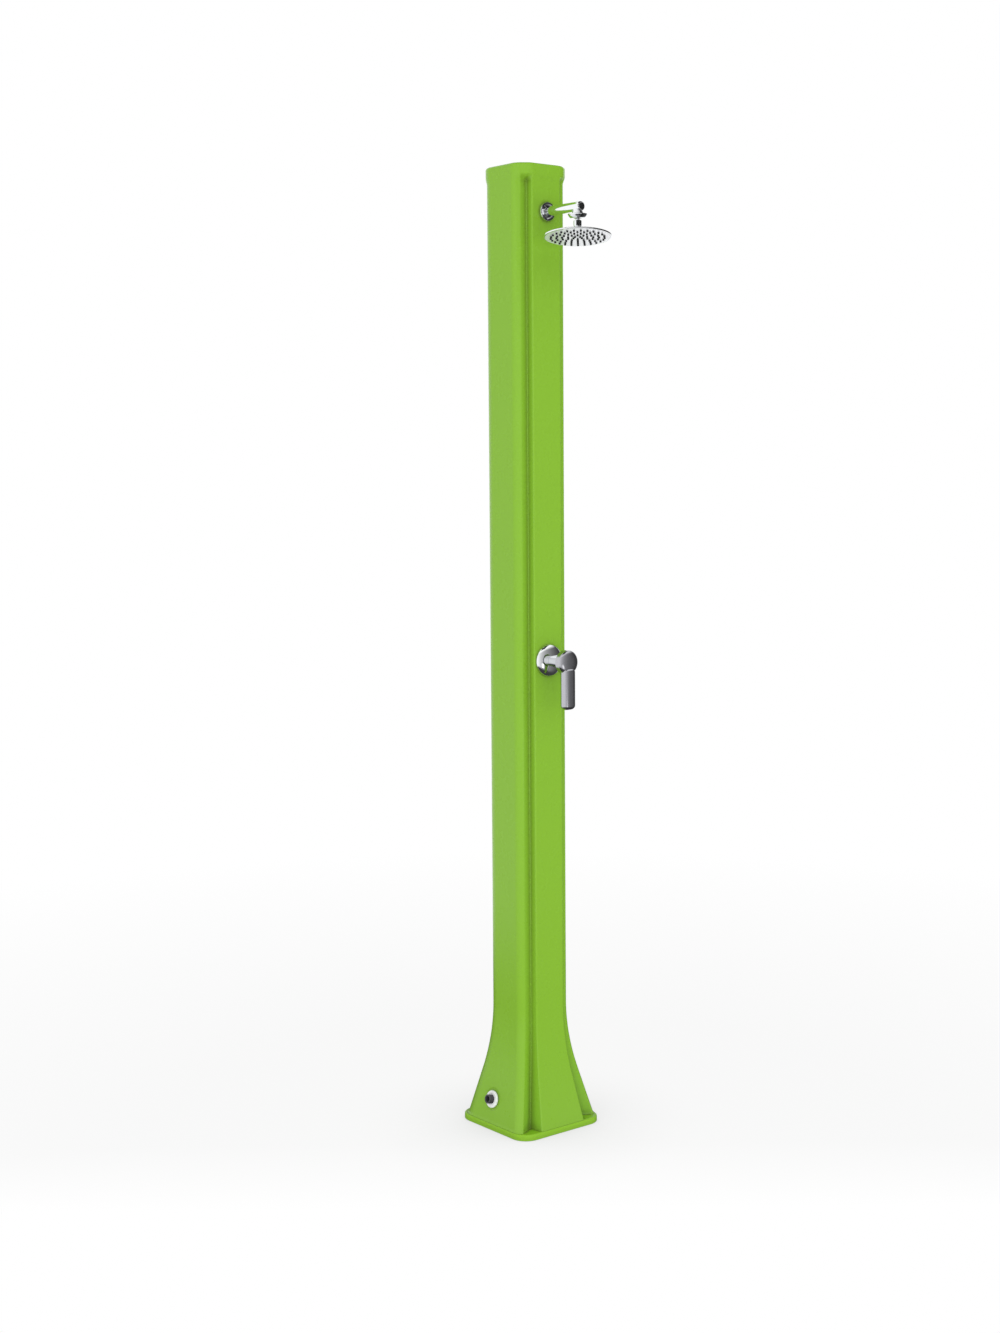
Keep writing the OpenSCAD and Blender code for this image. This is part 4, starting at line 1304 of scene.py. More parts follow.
@dataclass
class BasePlate:
    """The square base plate, with a soft upper edge and recesses for its screws and anchors."""

    corner: float = 39 * MM
    edge: float = 4 * MM
    bevel: float = 1.5 * MM
    anchor_recess: float = 7.1 * MM
    anchor_depth: float = 12.1 * MM
    screw_hole: float = 3.1 * MM
    head_recess: float = 6.1 * MM
    head_depth: float = 6.1 * MM
    clearance: float = 0.1 * MM
    drill_sides: int = 48
    corner_steps: int = 24
    edge_steps: int = 8

    def ring(self, half: float, height: float, inset: float) -> list[Vector]:
        """Returns one rounded square ring of the plate.

        Args:
            half: Half the plate's width.
            height: The height above the ground.
            inset: Distance that the outline is drawn in.

        Returns:
            The ring's points.
        """
        h, radius = half - inset, self.corner - inset
        quarter = arc((h - radius, h - radius), radius, 0, 90, self.corner_steps)
        found = []
        for k in range(4):
            turn = Matrix.Rotation(QUARTER * k, 2)
            found.extend(turn @ point for point in quarter)
        return [Vector((point.x, point.y, height)) for point in found]

    def body(self) -> Skin:
        """Returns the plate before it is drilled.

        Returns:
            The plate's skin.
        """
        low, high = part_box("base_plate")
        half = high.x
        rings = [self.ring(half, low.z, 3 * self.bevel), self.ring(half, low.z, self.bevel)]
        rings.append(self.ring(half, low.z + self.bevel, 0))
        for k in range(self.edge_steps + 1):
            angle = QUARTER * k / self.edge_steps
            inset = self.edge * (1 - math.cos(angle))
            rings.append(self.ring(half, high.z - self.edge * (1 - math.sin(angle)), inset))
        rings.append(self.ring(half, high.z, 2 * self.edge))
        return lofted(rings)

    def drill(self, radius: float, depth: float, places: Sequence[Pair]) -> Skin:
        """Returns round cutters that enter the plate from below.

        Args:
            radius: The cutters' radius.
            depth: How far they reach up.
            places: Where they enter.

        Returns:
            All the cutters, as one skin.
        """
        cut = rod(radius, -self.bevel, depth, self.drill_sides)
        found = Skin([], [])
        for x, y in places:
            found = found.with_skin(cut.moved(Matrix.Translation((x, y, 0))))
        return found

    @staticmethod
    def centres_of(node: str, radius: float) -> list[Pair]:
        """Returns the centres of a node's four round solids, which have a radius in common.

        Args:
            node: The node's name.
            radius: The radius of each of its solids.

        Returns:
            The four centres.
        """
        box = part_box(node)
        xs, ys = (box[0].x + radius, box[1].x - radius), (box[0].y + radius, box[1].y - radius)
        return [(x, y) for x in xs for y in ys]

    def make(self, shop: Workshop) -> None:
        """Builds the base plate and dresses it.

        Args:
            shop: The workshop that finishes the pieces.
        """
        made = self.body().to_object("base_plate_shell")
        anchors = self.centres_of("anchor_inserts", self.anchor_recess - self.clearance)
        screws = self.centres_of("base_screws", self.head_recess - self.clearance)
        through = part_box("base_plate")[1].z + self.bevel
        carved(made, self.drill(self.anchor_recess, self.anchor_depth, anchors))
        carved(made, self.drill(self.head_recess, self.head_depth, screws))
        carved(made, self.drill(self.screw_hole, through, screws))
        shop.piece(made, "base_plate_shell", Slot.BASE_GREEN, Body.POST, ["base_plate"])


@dataclass
class Inlet:
    """The water inlet: a threaded nipple that stands out of a white cover disc."""

    radius: float = 10.45 * MM
    bore: float = 7 * MM
    proud: float = 16 * MM
    tail: float = 34 * MM
    pitch: float = 1.814 * MM
    thread_depth: float = 1.0 * MM
    disc_radius: float = 20 * MM
    disc_low: float = 0.3 * MM
    disc_high: float = 4.8 * MM
    disc_gap: float = 0.15 * MM
    disc_soft: float = 0.3 * MM
    step_soft: float = 0.5 * MM
    step_out: float = 2.6 * MM
    step_in: float = 2.2 * MM
    step_deep: float = 0.7 * MM
    chamfer: float = 1.0 * MM
    flank: float = 1.3
    sides: int = 96
    rows_per_turn: int = 10

    def face(self, places: Places) -> Matrix:
        """Returns the frame where the inlet leaves the column."""
        return places.inlet_face(self.proud)

    def thread(self, start: float, stop: float) -> list[tuple[float, float]]:
        """Returns the heights of the threaded part's rows and how deep the thread is at each.

        Args:
            start: Height where the thread starts.
            stop: Height where it has run out.

        Returns:
            Height and depth of each row.
        """
        rows = []
        step = self.pitch / self.rows_per_turn
        count = int((stop - start) / step)
        for k in range(count + 1):
            height = start + k * step
            fade = min(1.0, (height - start) / self.pitch, (stop - height) / (2 * self.chamfer))
            rows.append((height, self.thread_depth * max(0.0, fade)))
        return rows

    def thread_ring(self, radius: float, height: float, depth: float = 0.0) -> list[Vector]:
        """Returns one ring of the nipple, drawn in where the thread's helix passes.

        Args:
            radius: The ring's full radius.
            height: The ring's height.
            depth: The thread's depth there.

        Returns:
            The ring's points.
        """
        points = []
        for k in range(self.sides):
            turn = k / self.sides
            phase = (height / self.pitch - turn) % 1.0
            groove = abs(2 * phase - 1)
            reach = radius - depth * min(1.0, groove * self.flank)
            angle = FULL_TURN * turn
            points.append(Vector((reach * math.cos(angle), reach * math.sin(angle), height)))
        return points

    def nipple(self) -> Skin:
        """Returns the nipple, whose thread is a true helix.

        Returns:
            The nipple's skin, in the inlet's frame.
        """
        start, stop = self.disc_high - 2 * self.chamfer, self.proud - self.chamfer / 2
        rings = [self.thread_ring(self.bore, -self.tail), self.thread_ring(self.radius, -self.tail)]
        rings += [self.thread_ring(self.radius, *row) for row in self.thread(start, stop)]
        rings.append(self.thread_ring(self.radius - self.chamfer, self.proud))
        rings.append(self.thread_ring(self.bore + self.chamfer / 2, self.proud))
        rings.append(self.thread_ring(self.bore, self.proud - self.chamfer / 2))
        skin = lofted(rings, closed=False)
        first = list(range(self.sides))
        last = [k + len(skin.points) - self.sides for k in first]
        return Skin(skin.points, skin.faces + joined_rows(last, first))

    def disc(self) -> Skin:
        """Returns the white cover disc, with a soft edge and a small step round the nipple.

        Returns:
            The disc's skin, in the inlet's frame.
        """
        inner = self.radius + self.disc_gap
        floor = self.disc_high - self.step_deep
        return Outline([
            Corner(inner, self.disc_low), Corner(self.disc_radius, self.disc_low, self.disc_soft),
            Corner(self.disc_radius, self.disc_high, (self.disc_high - self.disc_low) / 2),
            Corner(inner + self.step_out, self.disc_high, self.step_soft),
            Corner(inner + self.step_in, floor, self.disc_soft), Corner(inner, floor),
        ], ring=True).turned()

    def make(self, shop: Workshop, places: Places) -> None:
        """Builds the inlet's two shown pieces and dresses them.

        Args:
            shop: The workshop that finishes the pieces.
            places: The places of the fittings.
        """
        face = self.face(places)
        shop.piece(self.nipple().moved(face), "inlet_stub", Slot.DARK, Body.POST, ["inlet_nipple"])
        shop.piece(self.disc().moved(face), "inlet_disc", Slot.WHITE, Body.POST, ["inlet_rosette"])


@dataclass
class Mixer:
    """The mixer's shown metal: a domed wall cover and the neck that opens towards the handle."""

    dome_radius: float = 36.7 * MM
    dome_height: float = 15.5 * MM
    dome_sheet: float = 1.6 * MM
    dome_edge: float = 2 * MM
    dome_gap: float = 0.2 * MM
    dome_lid: float = 0.1 * MM
    flange: float = 21 * MM
    flange_low: float = 1.6 * MM
    flange_high: float = 5 * MM
    neck: float = 12.5 * MM
    mouth: float = 22.5 * MM
    mouth_out: float = 57.5 * MM
    mouth_bore: float = 16.5 * MM
    mouth_deep: float = 44 * MM
    shank: float = 16 * MM
    shank_in: float = 34 * MM
    rim: float = 0.8 * MM
    sides: int = 144
    steps: int = 28

    def dome(self) -> Skin:
        """Returns the wall cover, a thin dome with a rolled rim.

        Returns:
            The cover's skin, in the mixer's frame.
        """
        hole = self.neck + self.dome_gap
        outer: list[Corner] = []
        inner: list[Corner] = []
        for k in range(self.steps + 1):
            angle = QUARTER * k / self.steps
            for corners, sheet in ((outer, 0.0), (inner, self.dome_sheet)):
                radius = (self.dome_radius - sheet) * math.cos(angle)
                rise = (self.dome_height - self.dome_edge - sheet) * math.sin(angle)
                if radius > hole:
                    corners.append(Corner(radius, self.dome_edge + rise))
        corners = [Corner(self.dome_radius - self.dome_sheet, 0), Corner(self.dome_radius, 0, self.rim)]
        corners += outer + [Corner(hole, outer[-1].height + self.dome_lid), Corner(hole, inner[-1].height)]
        return Outline(corners + list(reversed(inner)), ring=True).turned(self.sides)

    def neck_piece(self) -> Skin:
        """Returns the mixer body, from its shank behind the panel to its open mouth.

        Returns:
            The body's skin, in the mixer's frame.
        """
        corners = [
            Corner(0, -self.shank_in), Corner(self.shank, -self.shank_in, self.rim),
            Corner(self.shank, self.flange_low), Corner(self.flange, self.flange_low, self.rim),
            Corner(self.flange, self.flange_high, self.rim), Corner(self.neck, self.flange_high, self.rim),
        ]
        for k in range(self.steps + 1):
            t = k / self.steps
            radius = between(self.neck, self.mouth, (t + t * t) / 2)
            corners.append(Corner(radius, between(self.dome_height, self.mouth_out - self.rim, t)))
        corners += [
            Corner(self.mouth - self.rim / 2, self.mouth_out, self.rim / 3),
            Corner(self.mouth_bore, self.mouth_out, self.rim), Corner(self.mouth_bore, self.mouth_deep),
            Corner(0, self.mouth_deep),
        ]
        return Outline(corners).turned(self.sides)

    def make(self, shop: Workshop, places: Places) -> None:
        """Builds the mixer's shown pieces and dresses them.

        Args:
            shop: The workshop that finishes the pieces.
            places: The places of the fittings.
        """
        at = places.mixer()
        shop.piece(self.dome().moved(at), "mixer_wall_cover", Slot.CHROME, Body.POST, ["mixer_dome"])
        shop.piece(self.neck_piece().moved(at), "mixer_neck", Slot.CHROME, Body.POST, ["mixer_body"])


@dataclass
class Handle:
    """The lever handle: a domed round hub, and a soft-edged bar that hangs from its front."""

    hub: float = 27.5 * MM
    hub_low: float = 56 * MM
    hub_edge: float = 0.6 * MM
    hub_out: float = 77.5 * MM
    dome: float = 9.5 * MM
    roundness: float = 0.8
    hollow: float = 24.8 * MM
    pivot: float = 50 * MM
    socket: float = 7.8 * MM
    socket_low: float = 61 * MM
    width: float = 34 * MM
    thickness: float = 24 * MM
    edge: float = 10 * MM
    fullness: float = 2.8
    sink: float = 9.9 * MM
    top: float = 12 * MM
    tip: float = 107 * MM
    screw_hole: float = 2.6 * MM
    screw_out: float = 64 * MM
    hub_sides: int = 144
    hollow_sides: int = 96
    hollow_steps: int = 48
    screw_sides: int = 48
    steps: int = 14

    def hollow_corner(self, angle: float) -> Corner:
        """Returns a point of the hub's round hollow, at an angle from its widest place."""
        return Corner(self.hollow * math.cos(angle), self.pivot + self.hollow * math.sin(angle))

    def hub_skin(self) -> Skin:
        """Returns the hub, domed in front and hollow behind.

        Returns:
            The hub's skin, in the mixer's frame.
        """
        edge = self.hub_low + self.hub_edge
        corners = [Corner(self.hub - self.hub_edge, self.hub_low), Corner(self.hub, edge)]
        steps = 2 * self.steps
        for k in range(steps + 1):
            angle = QUARTER * k / steps
            radius = self.hub * max(0.0, math.cos(angle)) ** self.roundness if k < steps else 0
            corners.append(Corner(radius, self.hub_out - self.dome * (1 - math.sin(angle))))
        start = math.asin((self.hub_low - self.pivot) / self.hollow)
        stop = math.acos(self.socket / self.hollow)
        inner = []
        for k in range(steps + 1):
            angle = between(start, stop, k / steps)
            inner.append(self.hollow_corner(angle))
        inner += [Corner(self.socket, self.socket_low, self.hub_edge), Corner(0, self.socket_low)]
        return Outline(list(reversed(inner)) + corners).turned(self.hub_sides)

    def hollow_skin(self) -> Skin:
        """Returns the ball that keeps the bar out of the hub's hollow.

        Returns:
            The ball's skin, in the mixer's frame.
        """
        corners = []
        for k in range(self.hollow_steps + 1):
            angle = math.radians(-90 + 180 * k / self.hollow_steps)
            corners.append(self.hollow_corner(angle))
        return Outline(corners).turned(self.hollow_sides)

    def bar_ring(self, along: float, inset: float) -> list[Vector]:
        """Returns one ring of the bar, across its length: a full oval that is nearly a rounded box.

        Args:
            along: Where the ring is along the bar.
            inset: Distance that the outline is drawn in.

        Returns:
            The ring's points.
        """
        x, z = self.width / 2 - inset, self.thickness / 2 - inset
        middle = self.hub_out - self.sink
        sides = 8 * self.steps
        points: list[Vector] = []
        for k in range(sides):
            angle = FULL_TURN * (k + 0.5) / sides
            c, s = math.cos(angle), math.sin(angle)
            reach = (abs(c) ** self.fullness + abs(s) ** self.fullness) ** (-1 / self.fullness)
            points.append(Vector((x * reach * c, along, middle + z * reach * s)))
        return points

    def bar(self) -> Skin:
        """Returns the bar, rounded alike along its edges and at both ends.

        Returns:
            The bar's skin, in the mixer's frame.
        """
        rings = []
        for end, way in ((-self.tip, 1), (-self.top, -1)):
            half = []
            for k in range(self.steps + 1):
                angle = QUARTER * k / self.steps
                inset = self.edge * (1 - math.sin(angle))
                half.append(self.bar_ring(end + way * self.edge * (1 - math.cos(angle)), inset))
            rings += half if way > 0 else list(reversed(half))
        return lofted(rings).flipped()

    def make(self, shop: Workshop, places: Places) -> None:
        """Builds the handle and dresses it.

        Args:
            shop: The workshop that finishes the pieces.
            places: The places of the fittings.
        """
        at = places.mixer()
        made = self.hub_skin().moved(at).to_object("lever_handle")
        bar = self.bar().moved(at).to_object("lever_bar")
        carved(bar, self.hollow_skin().moved(at))
        carved(made, Skin.from_object(bar), Cut.JOINED)
        hole = rod(self.screw_hole, 0, self.hub + self.edge, self.screw_sides)
        side = at @ Matrix.Translation((0, 0, self.screw_out)) @ Matrix.Rotation(QUARTER, 4, "Y")
        carved(made, hole.moved(side))
        shop.piece(made, "lever_handle", Slot.HANDLE_CHROME, Body.HANDLE, ["handle"])


@dataclass
class Arm:
    """The shower arm with its domed end, its outlet and the round cover at its root."""

    pipe: float = 10.65 * MM
    tail: float = 30 * MM
    tail_thinner: float = 0.35 * MM
    out: float = 120 * MM
    dome: float = 7 * MM
    dome_fullness: float = 4.0
    shoulder: float = 15 * MM
    shoulder_low: float = 1.6 * MM
    shoulder_high: float = 4.6 * MM
    outlet: float = 10.2 * MM
    outlet_out: float = 106 * MM
    outlet_low: float = 14.1 * MM
    outlet_bore: float = 7 * MM
    outlet_top: float = 6 * MM
    outlet_soft: float = 0.5 * MM
    seal_seat: float = 9 * MM
    seal_deep: float = 2.6 * MM
    cover: float = 20.8 * MM
    cover_out: float = 7 * MM
    cover_lip: float = 3 * MM
    cover_dish: float = 1.8 * MM
    gap: float = 0.2 * MM
    sides: int = 128
    port_sides: int = 64
    steps: int = 18

    def pipe_skin(self) -> Skin:
        """Returns the arm's pipe, closed by its dome.

        Returns:
            The pipe's skin, in the arm's frame.
        """
        end = self.out - self.dome
        inner = self.pipe - self.tail_thinner
        corners = [
            Corner(0, -self.tail), Corner(inner, -self.tail, self.gap), Corner(inner, self.shoulder_low),
            Corner(self.shoulder, self.shoulder_low, self.gap),
            Corner(self.shoulder, self.shoulder_high, self.gap),
            Corner(self.pipe, self.shoulder_high, self.gap),
        ]
        for k in range(self.steps + 1):
            angle, full = QUARTER * k / self.steps, 2 / self.dome_fullness
            radius = self.pipe * math.cos(angle) ** full if k < self.steps else 0
            corners.append(Corner(radius, end + self.dome * math.sin(angle) ** full))
        return Outline(corners).turned(self.sides)

    def outlet_skin(self) -> Skin:
        """Returns the outlet that joins the pipe near its end, pointing down its own axis.

        Returns:
            The outlet's skin, in its own frame.
        """
        return Outline([
            Corner(0, 0), Corner(self.outlet, 0), Corner(self.outlet, self.outlet_low, self.outlet_soft),
            Corner(self.seal_seat, self.outlet_low, self.gap),
            Corner(self.seal_seat, self.outlet_low - self.seal_deep),
            Corner(self.outlet_bore, self.outlet_low - self.seal_deep), Corner(self.outlet_bore, self.pipe),
            Corner(0, self.pipe),
        ]).turned(self.sides)

    def cover_skin(self) -> Skin:
        """Returns the cover at the root: a thick rounded lip round a dished face.

        Returns:
            The cover's skin, in the arm's frame.
        """
        corners = [
            Corner(self.shoulder + self.gap, 0), Corner(self.cover, 0, self.gap),
            Corner(self.cover, self.cover_out, self.cover_lip),
        ]
        inner = self.pipe + self.gap
        start = self.cover - self.cover_lip - self.gap
        for k in range(1, self.steps + 1):
            share = k / self.steps
            drop = self.cover_dish * math.sin(QUARTER * share)
            corners.append(Corner(between(start, inner, share), self.cover_out - drop))
        ledge = self.shoulder_high + self.gap
        corners += [Corner(inner, ledge), Corner(self.shoulder + self.gap, ledge)]
        return Outline(corners, ring=True).turned(self.sides)

    def make(self, shop: Workshop, places: Places) -> None:
        """Builds the arm and its cover and dresses them.

        Args:
            shop: The workshop that finishes the pieces.
            places: The places of the fittings.
        """
        at = places.arm()
        made = self.pipe_skin().moved(at).to_object("arm_pipe")
        down = at @ Matrix.Translation((0, 0, self.outlet_out)) @ Matrix.Rotation(QUARTER, 4, "X")
        carved(made, self.outlet_skin().moved(down), Cut.JOINED)
        port = rod(self.outlet_bore - self.gap, self.outlet_top, self.pipe + self.gap, self.port_sides)
        carved(made, port.moved(down))
        shop.piece(made, "arm_pipe", Slot.ARM_CHROME, Body.POST, ["shower_arm"])
        shop.piece(self.cover_skin().moved(at), "arm_cover", Slot.CHROME, Body.POST, ["arm_flange"])


@dataclass
class BallJoint:
    """The tilting joint: a collar with a wide thin rim, and the ball with its stem."""

    ball: float = 9 * MM
    stem: float = 4.5 * MM
    stem_bore: float = 2.5 * MM
    foot: float = 6.8 * MM
    foot_high: float = 13 * MM
    foot_low: float = 16 * MM
    socket: float = 10.5 * MM
    bore: float = 10.3 * MM
    hole: float = 8.7 * MM
    low: float = 6.4 * MM
    high: float = 8 * MM
    neck: float = 11.8 * MM
    rim: float = 21.2 * MM
    rim_up: float = 2.2 * MM
    rim_thick: float = 2.4 * MM
    bowl: float = 2.5
    outlet_low: float = 5 * MM
    soft: float = 0.4 * MM
    sides: int = 144
    steps: int = 16

    def collar(self) -> Skin:
        """Returns the collar, bored for the outlet above and the ball inside.

        Returns:
            The collar's skin, round the ball's centre.
        """
        rim_low, rim_high = self.rim_up - self.rim_thick / 2, self.rim_up + self.rim_thick / 2
        corners = [Corner(self.hole, -self.low, self.soft)]
        for k in range(self.steps):
            share = k / self.steps
            radius = between(self.neck, self.rim - self.soft, share)
            corners.append(Corner(radius, between(-self.low, rim_low, share**self.bowl)))
        corners += [
            Corner(self.rim, rim_low, 2 * self.soft), Corner(self.rim, rim_high, 2 * self.soft),
            Corner(self.neck, rim_high, 2 * self.soft), Corner(self.neck, self.high, self.soft),
            Corner(self.bore, self.high, self.soft), Corner(self.bore, self.outlet_low),
            Corner(self.socket, self.outlet_low), Corner(self.socket, 0),
        ]
        lip = math.acos(self.hole / self.socket)
        for k in range(1, self.steps + 1):
            angle = lip * k / self.steps
            corners.append(Corner(self.socket * math.cos(angle), -self.socket * math.sin(angle)))
        return Outline(corners, ring=True).turned(self.sides)

    def stem_skin(self) -> Skin:
        """Returns the ball and its hollow stem, in the head's frame.

        Returns:
            The skin of ball and stem.
        """
        start = math.acos(self.stem_bore / self.ball)
        stop = -math.acos(self.stem / self.ball)
        corners = [Corner(self.stem_bore, -self.foot_low)]
        for k in range(2 * self.steps + 1):
            angle = between(start, stop, k / (2 * self.steps))
            corners.append(Corner(self.ball * math.cos(angle), self.ball * math.sin(angle)))
        corners += [
            Corner(self.stem, -self.foot_high, self.soft), Corner(self.foot, -self.foot_high, self.soft),
            Corner(self.foot, -self.foot_low, self.soft),
        ]
        return Outline(list(reversed(corners)), ring=True).turned()

    def make(self, shop: Workshop, places: Places) -> None:
        """Builds the joint's shown pieces and dresses them.

        Args:
            shop: The workshop that finishes the pieces.
            places: The places of the fittings.
        """
        collar = self.collar().moved(Matrix.Translation(places.ball))
        stem = self.stem_skin().moved(places.head())
        shop.piece(collar, "joint_collar", Slot.CHROME, Body.POST, ["ball_collar"])
        shop.piece(stem, "joint_stem", Slot.CHROME, Body.STEM, ["ball_stem"])


@dataclass
class RainHead:
    """The rain head: its nut, its low bell, and the nozzles that stand out of its face."""

    nut: float = 8.9 * MM
    nut_high: float = 11.5 * MM
    nut_low: float = 25.5 * MM
    nut_soft: float = 1 * MM
    nut_hole: float = 4.6 * MM
    nut_bore: float = 6.9 * MM
    nut_lid: float = 12.9 * MM
    radius: float = 75 * MM
    drop: float = 48.5 * MM
    rim: float = 3.4 * MM
    rim_round: float = 1.8 * MM
    lip_round: float = 1.2 * MM
    hub: float = 14 * MM
    hub_high: float = 25.7 * MM
    curve: float = 1.5
    spigot: float = 6.6 * MM
    spigot_high: float = 17.7 * MM
    stem_bore: float = 2.5 * MM
    skirt: float = 3.2 * MM
    plate_seat: float = 9 * MM
    mat_low: float = 47 * MM
    mat: float = 1.5 * MM
    mat_radius: float = 62.5 * MM
    chamber_top: float = 45.1 * MM
    cone: float = 58 * MM
    cone_top: float = 29.5 * MM
    nozzle: float = 2.35 * MM
    nozzle_out: float = 3.1 * MM
    nozzle_start: float = math.radians(48)
    nozzle_soft_share: float = 0.2
    hole_share: float = 0.35
    hole_soft_share: float = 0.4
    nozzle_sides: int = 20
    bell_sides: int = 192
    steps: int = 36
    ring_shares: tuple[float, ...] = (0.785, 0.62, 0.455, 0.29, 0.125)
    ring_counts: tuple[int, ...] = (25, 20, 15, 10, 5)

    def nut_skin(self) -> Skin:
        """Returns the round nut that holds the head to the stem.

        Returns:
            The nut's skin, in the head's frame.
        """
        return Outline([
            Corner(self.nut_bore, -self.nut_low), Corner(self.nut, -self.nut_low, self.nut_soft / 2),
            Corner(self.nut, -self.nut_high, self.nut_soft),
            Corner(self.nut_hole, -self.nut_high, self.nut_soft / 3),
            Corner(self.nut_hole, -self.nut_lid), Corner(self.nut_bore, -self.nut_lid),
        ], ring=True).turned()

    def bell(self) -> Skin:
        """Returns the head's upper shell, with its spigot, its rim and its water chamber.

        Returns:
            The shell's skin, in the head's frame.
        """
        rim_top = self.drop - self.rim
        corners = [
            Corner(self.stem_bore, -self.spigot_high),
            Corner(self.spigot, -self.spigot_high, self.lip_round / 3), Corner(self.spigot, -self.hub_high),
        ]
        rise = rim_top - self.hub_high
        for k in range(self.steps + 1):
            share = k / self.steps
            radius = between(self.hub, self.radius - self.rim_round, share)
            corners.append(Corner(radius, -rim_top + rise * (1 - share) ** self.curve))
        inside = self.radius - self.skirt
        ledge = inside - self.plate_seat
        corners += [
            Corner(self.radius, -rim_top, self.rim_round), Corner(self.radius, -self.drop, self.lip_round),
            Corner(inside, -self.drop, self.lip_round / 3), Corner(inside, -self.mat_low),
            Corner(ledge, -self.mat_low), Corner(ledge, -self.chamber_top),
            Corner(self.cone, -self.chamber_top), Corner(self.stem_bore, -self.cone_top),
        ]
        return Outline(list(reversed(corners)), ring=True).turned(self.bell_sides).flipped()

    def nozzle_skin(self) -> Skin:
        """Returns one nozzle: a soft round tip with a small hole.

        Returns:
            The nozzle's skin, on the head's axis.
        """
        tip = self.drop + self.nozzle_out
        hole = self.nozzle * self.hole_share
        return Outline([
            Corner(self.nozzle, -self.mat_low + self.mat / 2), Corner(self.nozzle, -self.drop),
            Corner(self.nozzle, -tip, self.nozzle * self.nozzle_soft_share),
            Corner(hole, -tip, hole * self.hole_soft_share),
            Corner(hole, -self.drop), Corner(0, -self.drop),
        ]).turned(self.nozzle_sides).flipped()

    def nozzles(self) -> Skin:
        """Returns the nozzle mat with all its nozzles, in rings.

        Returns:
            The mat's skin, in the head's frame.
        """
        low, high = -self.mat_low, self.mat - self.mat_low
        found = Outline([
            Corner(0, low), Corner(self.mat_radius, low, self.mat / 4),
            Corner(self.mat_radius, high, self.mat / 4), Corner(0, high),
        ]).turned()
        one = self.nozzle_skin()
        for share, count in zip(self.ring_shares, self.ring_counts):
            for i in range(count):
                turn = Matrix.Rotation(self.nozzle_start + FULL_TURN * i / count, 4, "Z")
                found = found.with_skin(one.moved(turn @ Matrix.Translation((self.radius * share, 0, 0))))
        return found

    def make(self, shop: Workshop, places: Places) -> None:
        """Builds the head's shown pieces and dresses them.

        Args:
            shop: The workshop that finishes the pieces.
            places: The places of the fittings.
        """
        at = places.head()
        shop.piece(self.nut_skin().moved(at), "head_nut", Slot.CHROME, Body.HEAD, ["stem_nut"])
        shop.piece(self.bell().moved(at), "head_bell", Slot.CHROME, Body.HEAD, ["head_back"])
        shop.piece(self.nozzles().moved(at), "head_nozzles", Slot.NOZZLE, Body.HEAD, ["nozzle_mat"])


# Studio


def towards(heading: float) -> Vector:
    """Returns the level direction of a heading, in degrees from the post's front towards its left."""
    turn = math.radians(heading)
    return Vector((-math.sin(turn), -math.cos(turn), 0.0))


@dataclass(frozen=True)
class Surround:
    """The light all round: even on plain surfaces, with a bright and a dark side on metal.

    Headings are in degrees from the post's front, positive towards its left face.
    """

    ambient: float = 0.58
    ambient_heading: float = 29.0
    ambient_lean: float = 0.935
    bright: float = 1.12
    dark: float = 0.05
    bright_heading: float = 95.0
    falloff: float = 1.1
    sky_start: float = 0.45
    sky_stop: float = 0.7
    back_start: float = 0.1
    back_stop: float = 0.5

    def on_metal(self, graph: Graph, way: Wire) -> Wire:
        """Returns the brightness that polished metal sees along a direction.

        Args:
            graph: The graph that the nodes are added to.
            way: The direction.

        Returns:
            The brightness.
        """
        x, y, z = (graph.axis(way, name) for name in "XYZ")
        middle = towards(self.bright_heading)
        around = ((x * middle.x + y * middle.y + 1.0) * 0.5).clamped() ** self.falloff
        open_sky = z.step(self.sky_start, self.sky_stop)
        lit = around.at_least(open_sky).at_least(y.step(self.back_start, self.back_stop))
        return lit * (self.bright - self.dark) + self.dark

    def on_plain(self, graph: Graph, way: Wire) -> Wire:
        """Returns the brightness that plain surfaces get from a direction.

        Args:
            graph: The graph that the nodes are added to.
            way: The direction.

        Returns:
            The brightness.
        """
        x, y = (graph.axis(way, name) for name in "XY")
        lean = towards(self.ambient_heading) * self.ambient_lean
        return (x * lean.x + y * lean.y + self.ambient).at_least(0.0)

    def make(self) -> None:
        """Makes the world, which is white to the camera."""
        world = bpy.data.worlds.new("Surround")
        world.use_nodes = True
        bpy.context.scene.world = world
        graph = Graph(world.node_tree)
        way = graph.node("ShaderNodeTexCoord", output="Generated")
        white = graph.is_ray(Ray.CAMERA).at_least(graph.is_ray(Ray.TRANSMISSION))
        even = self.on_plain(graph, way)
        level = graph.is_ray(Ray.GLOSSY) * (self.on_metal(graph, way) - even) + even
        strength = white * (1.0 - level) + level
        shader = graph.node("ShaderNodeBackground", None, {"Color": strength, "Strength": 1.0})
        graph.add("ShaderNodeOutputWorld", None, {"Surface": shader})


@dataclass(frozen=True)
class CardGlow(Finish):
    """The even glow of a studio card."""

    level: float

    def shader(self, graph: Graph) -> Wire:
        """Returns the card's shader."""
        inputs = {"Color": self.colour.linear(self.level), "Strength": 1.0}
        return graph.node("ShaderNodeEmission", None, inputs)


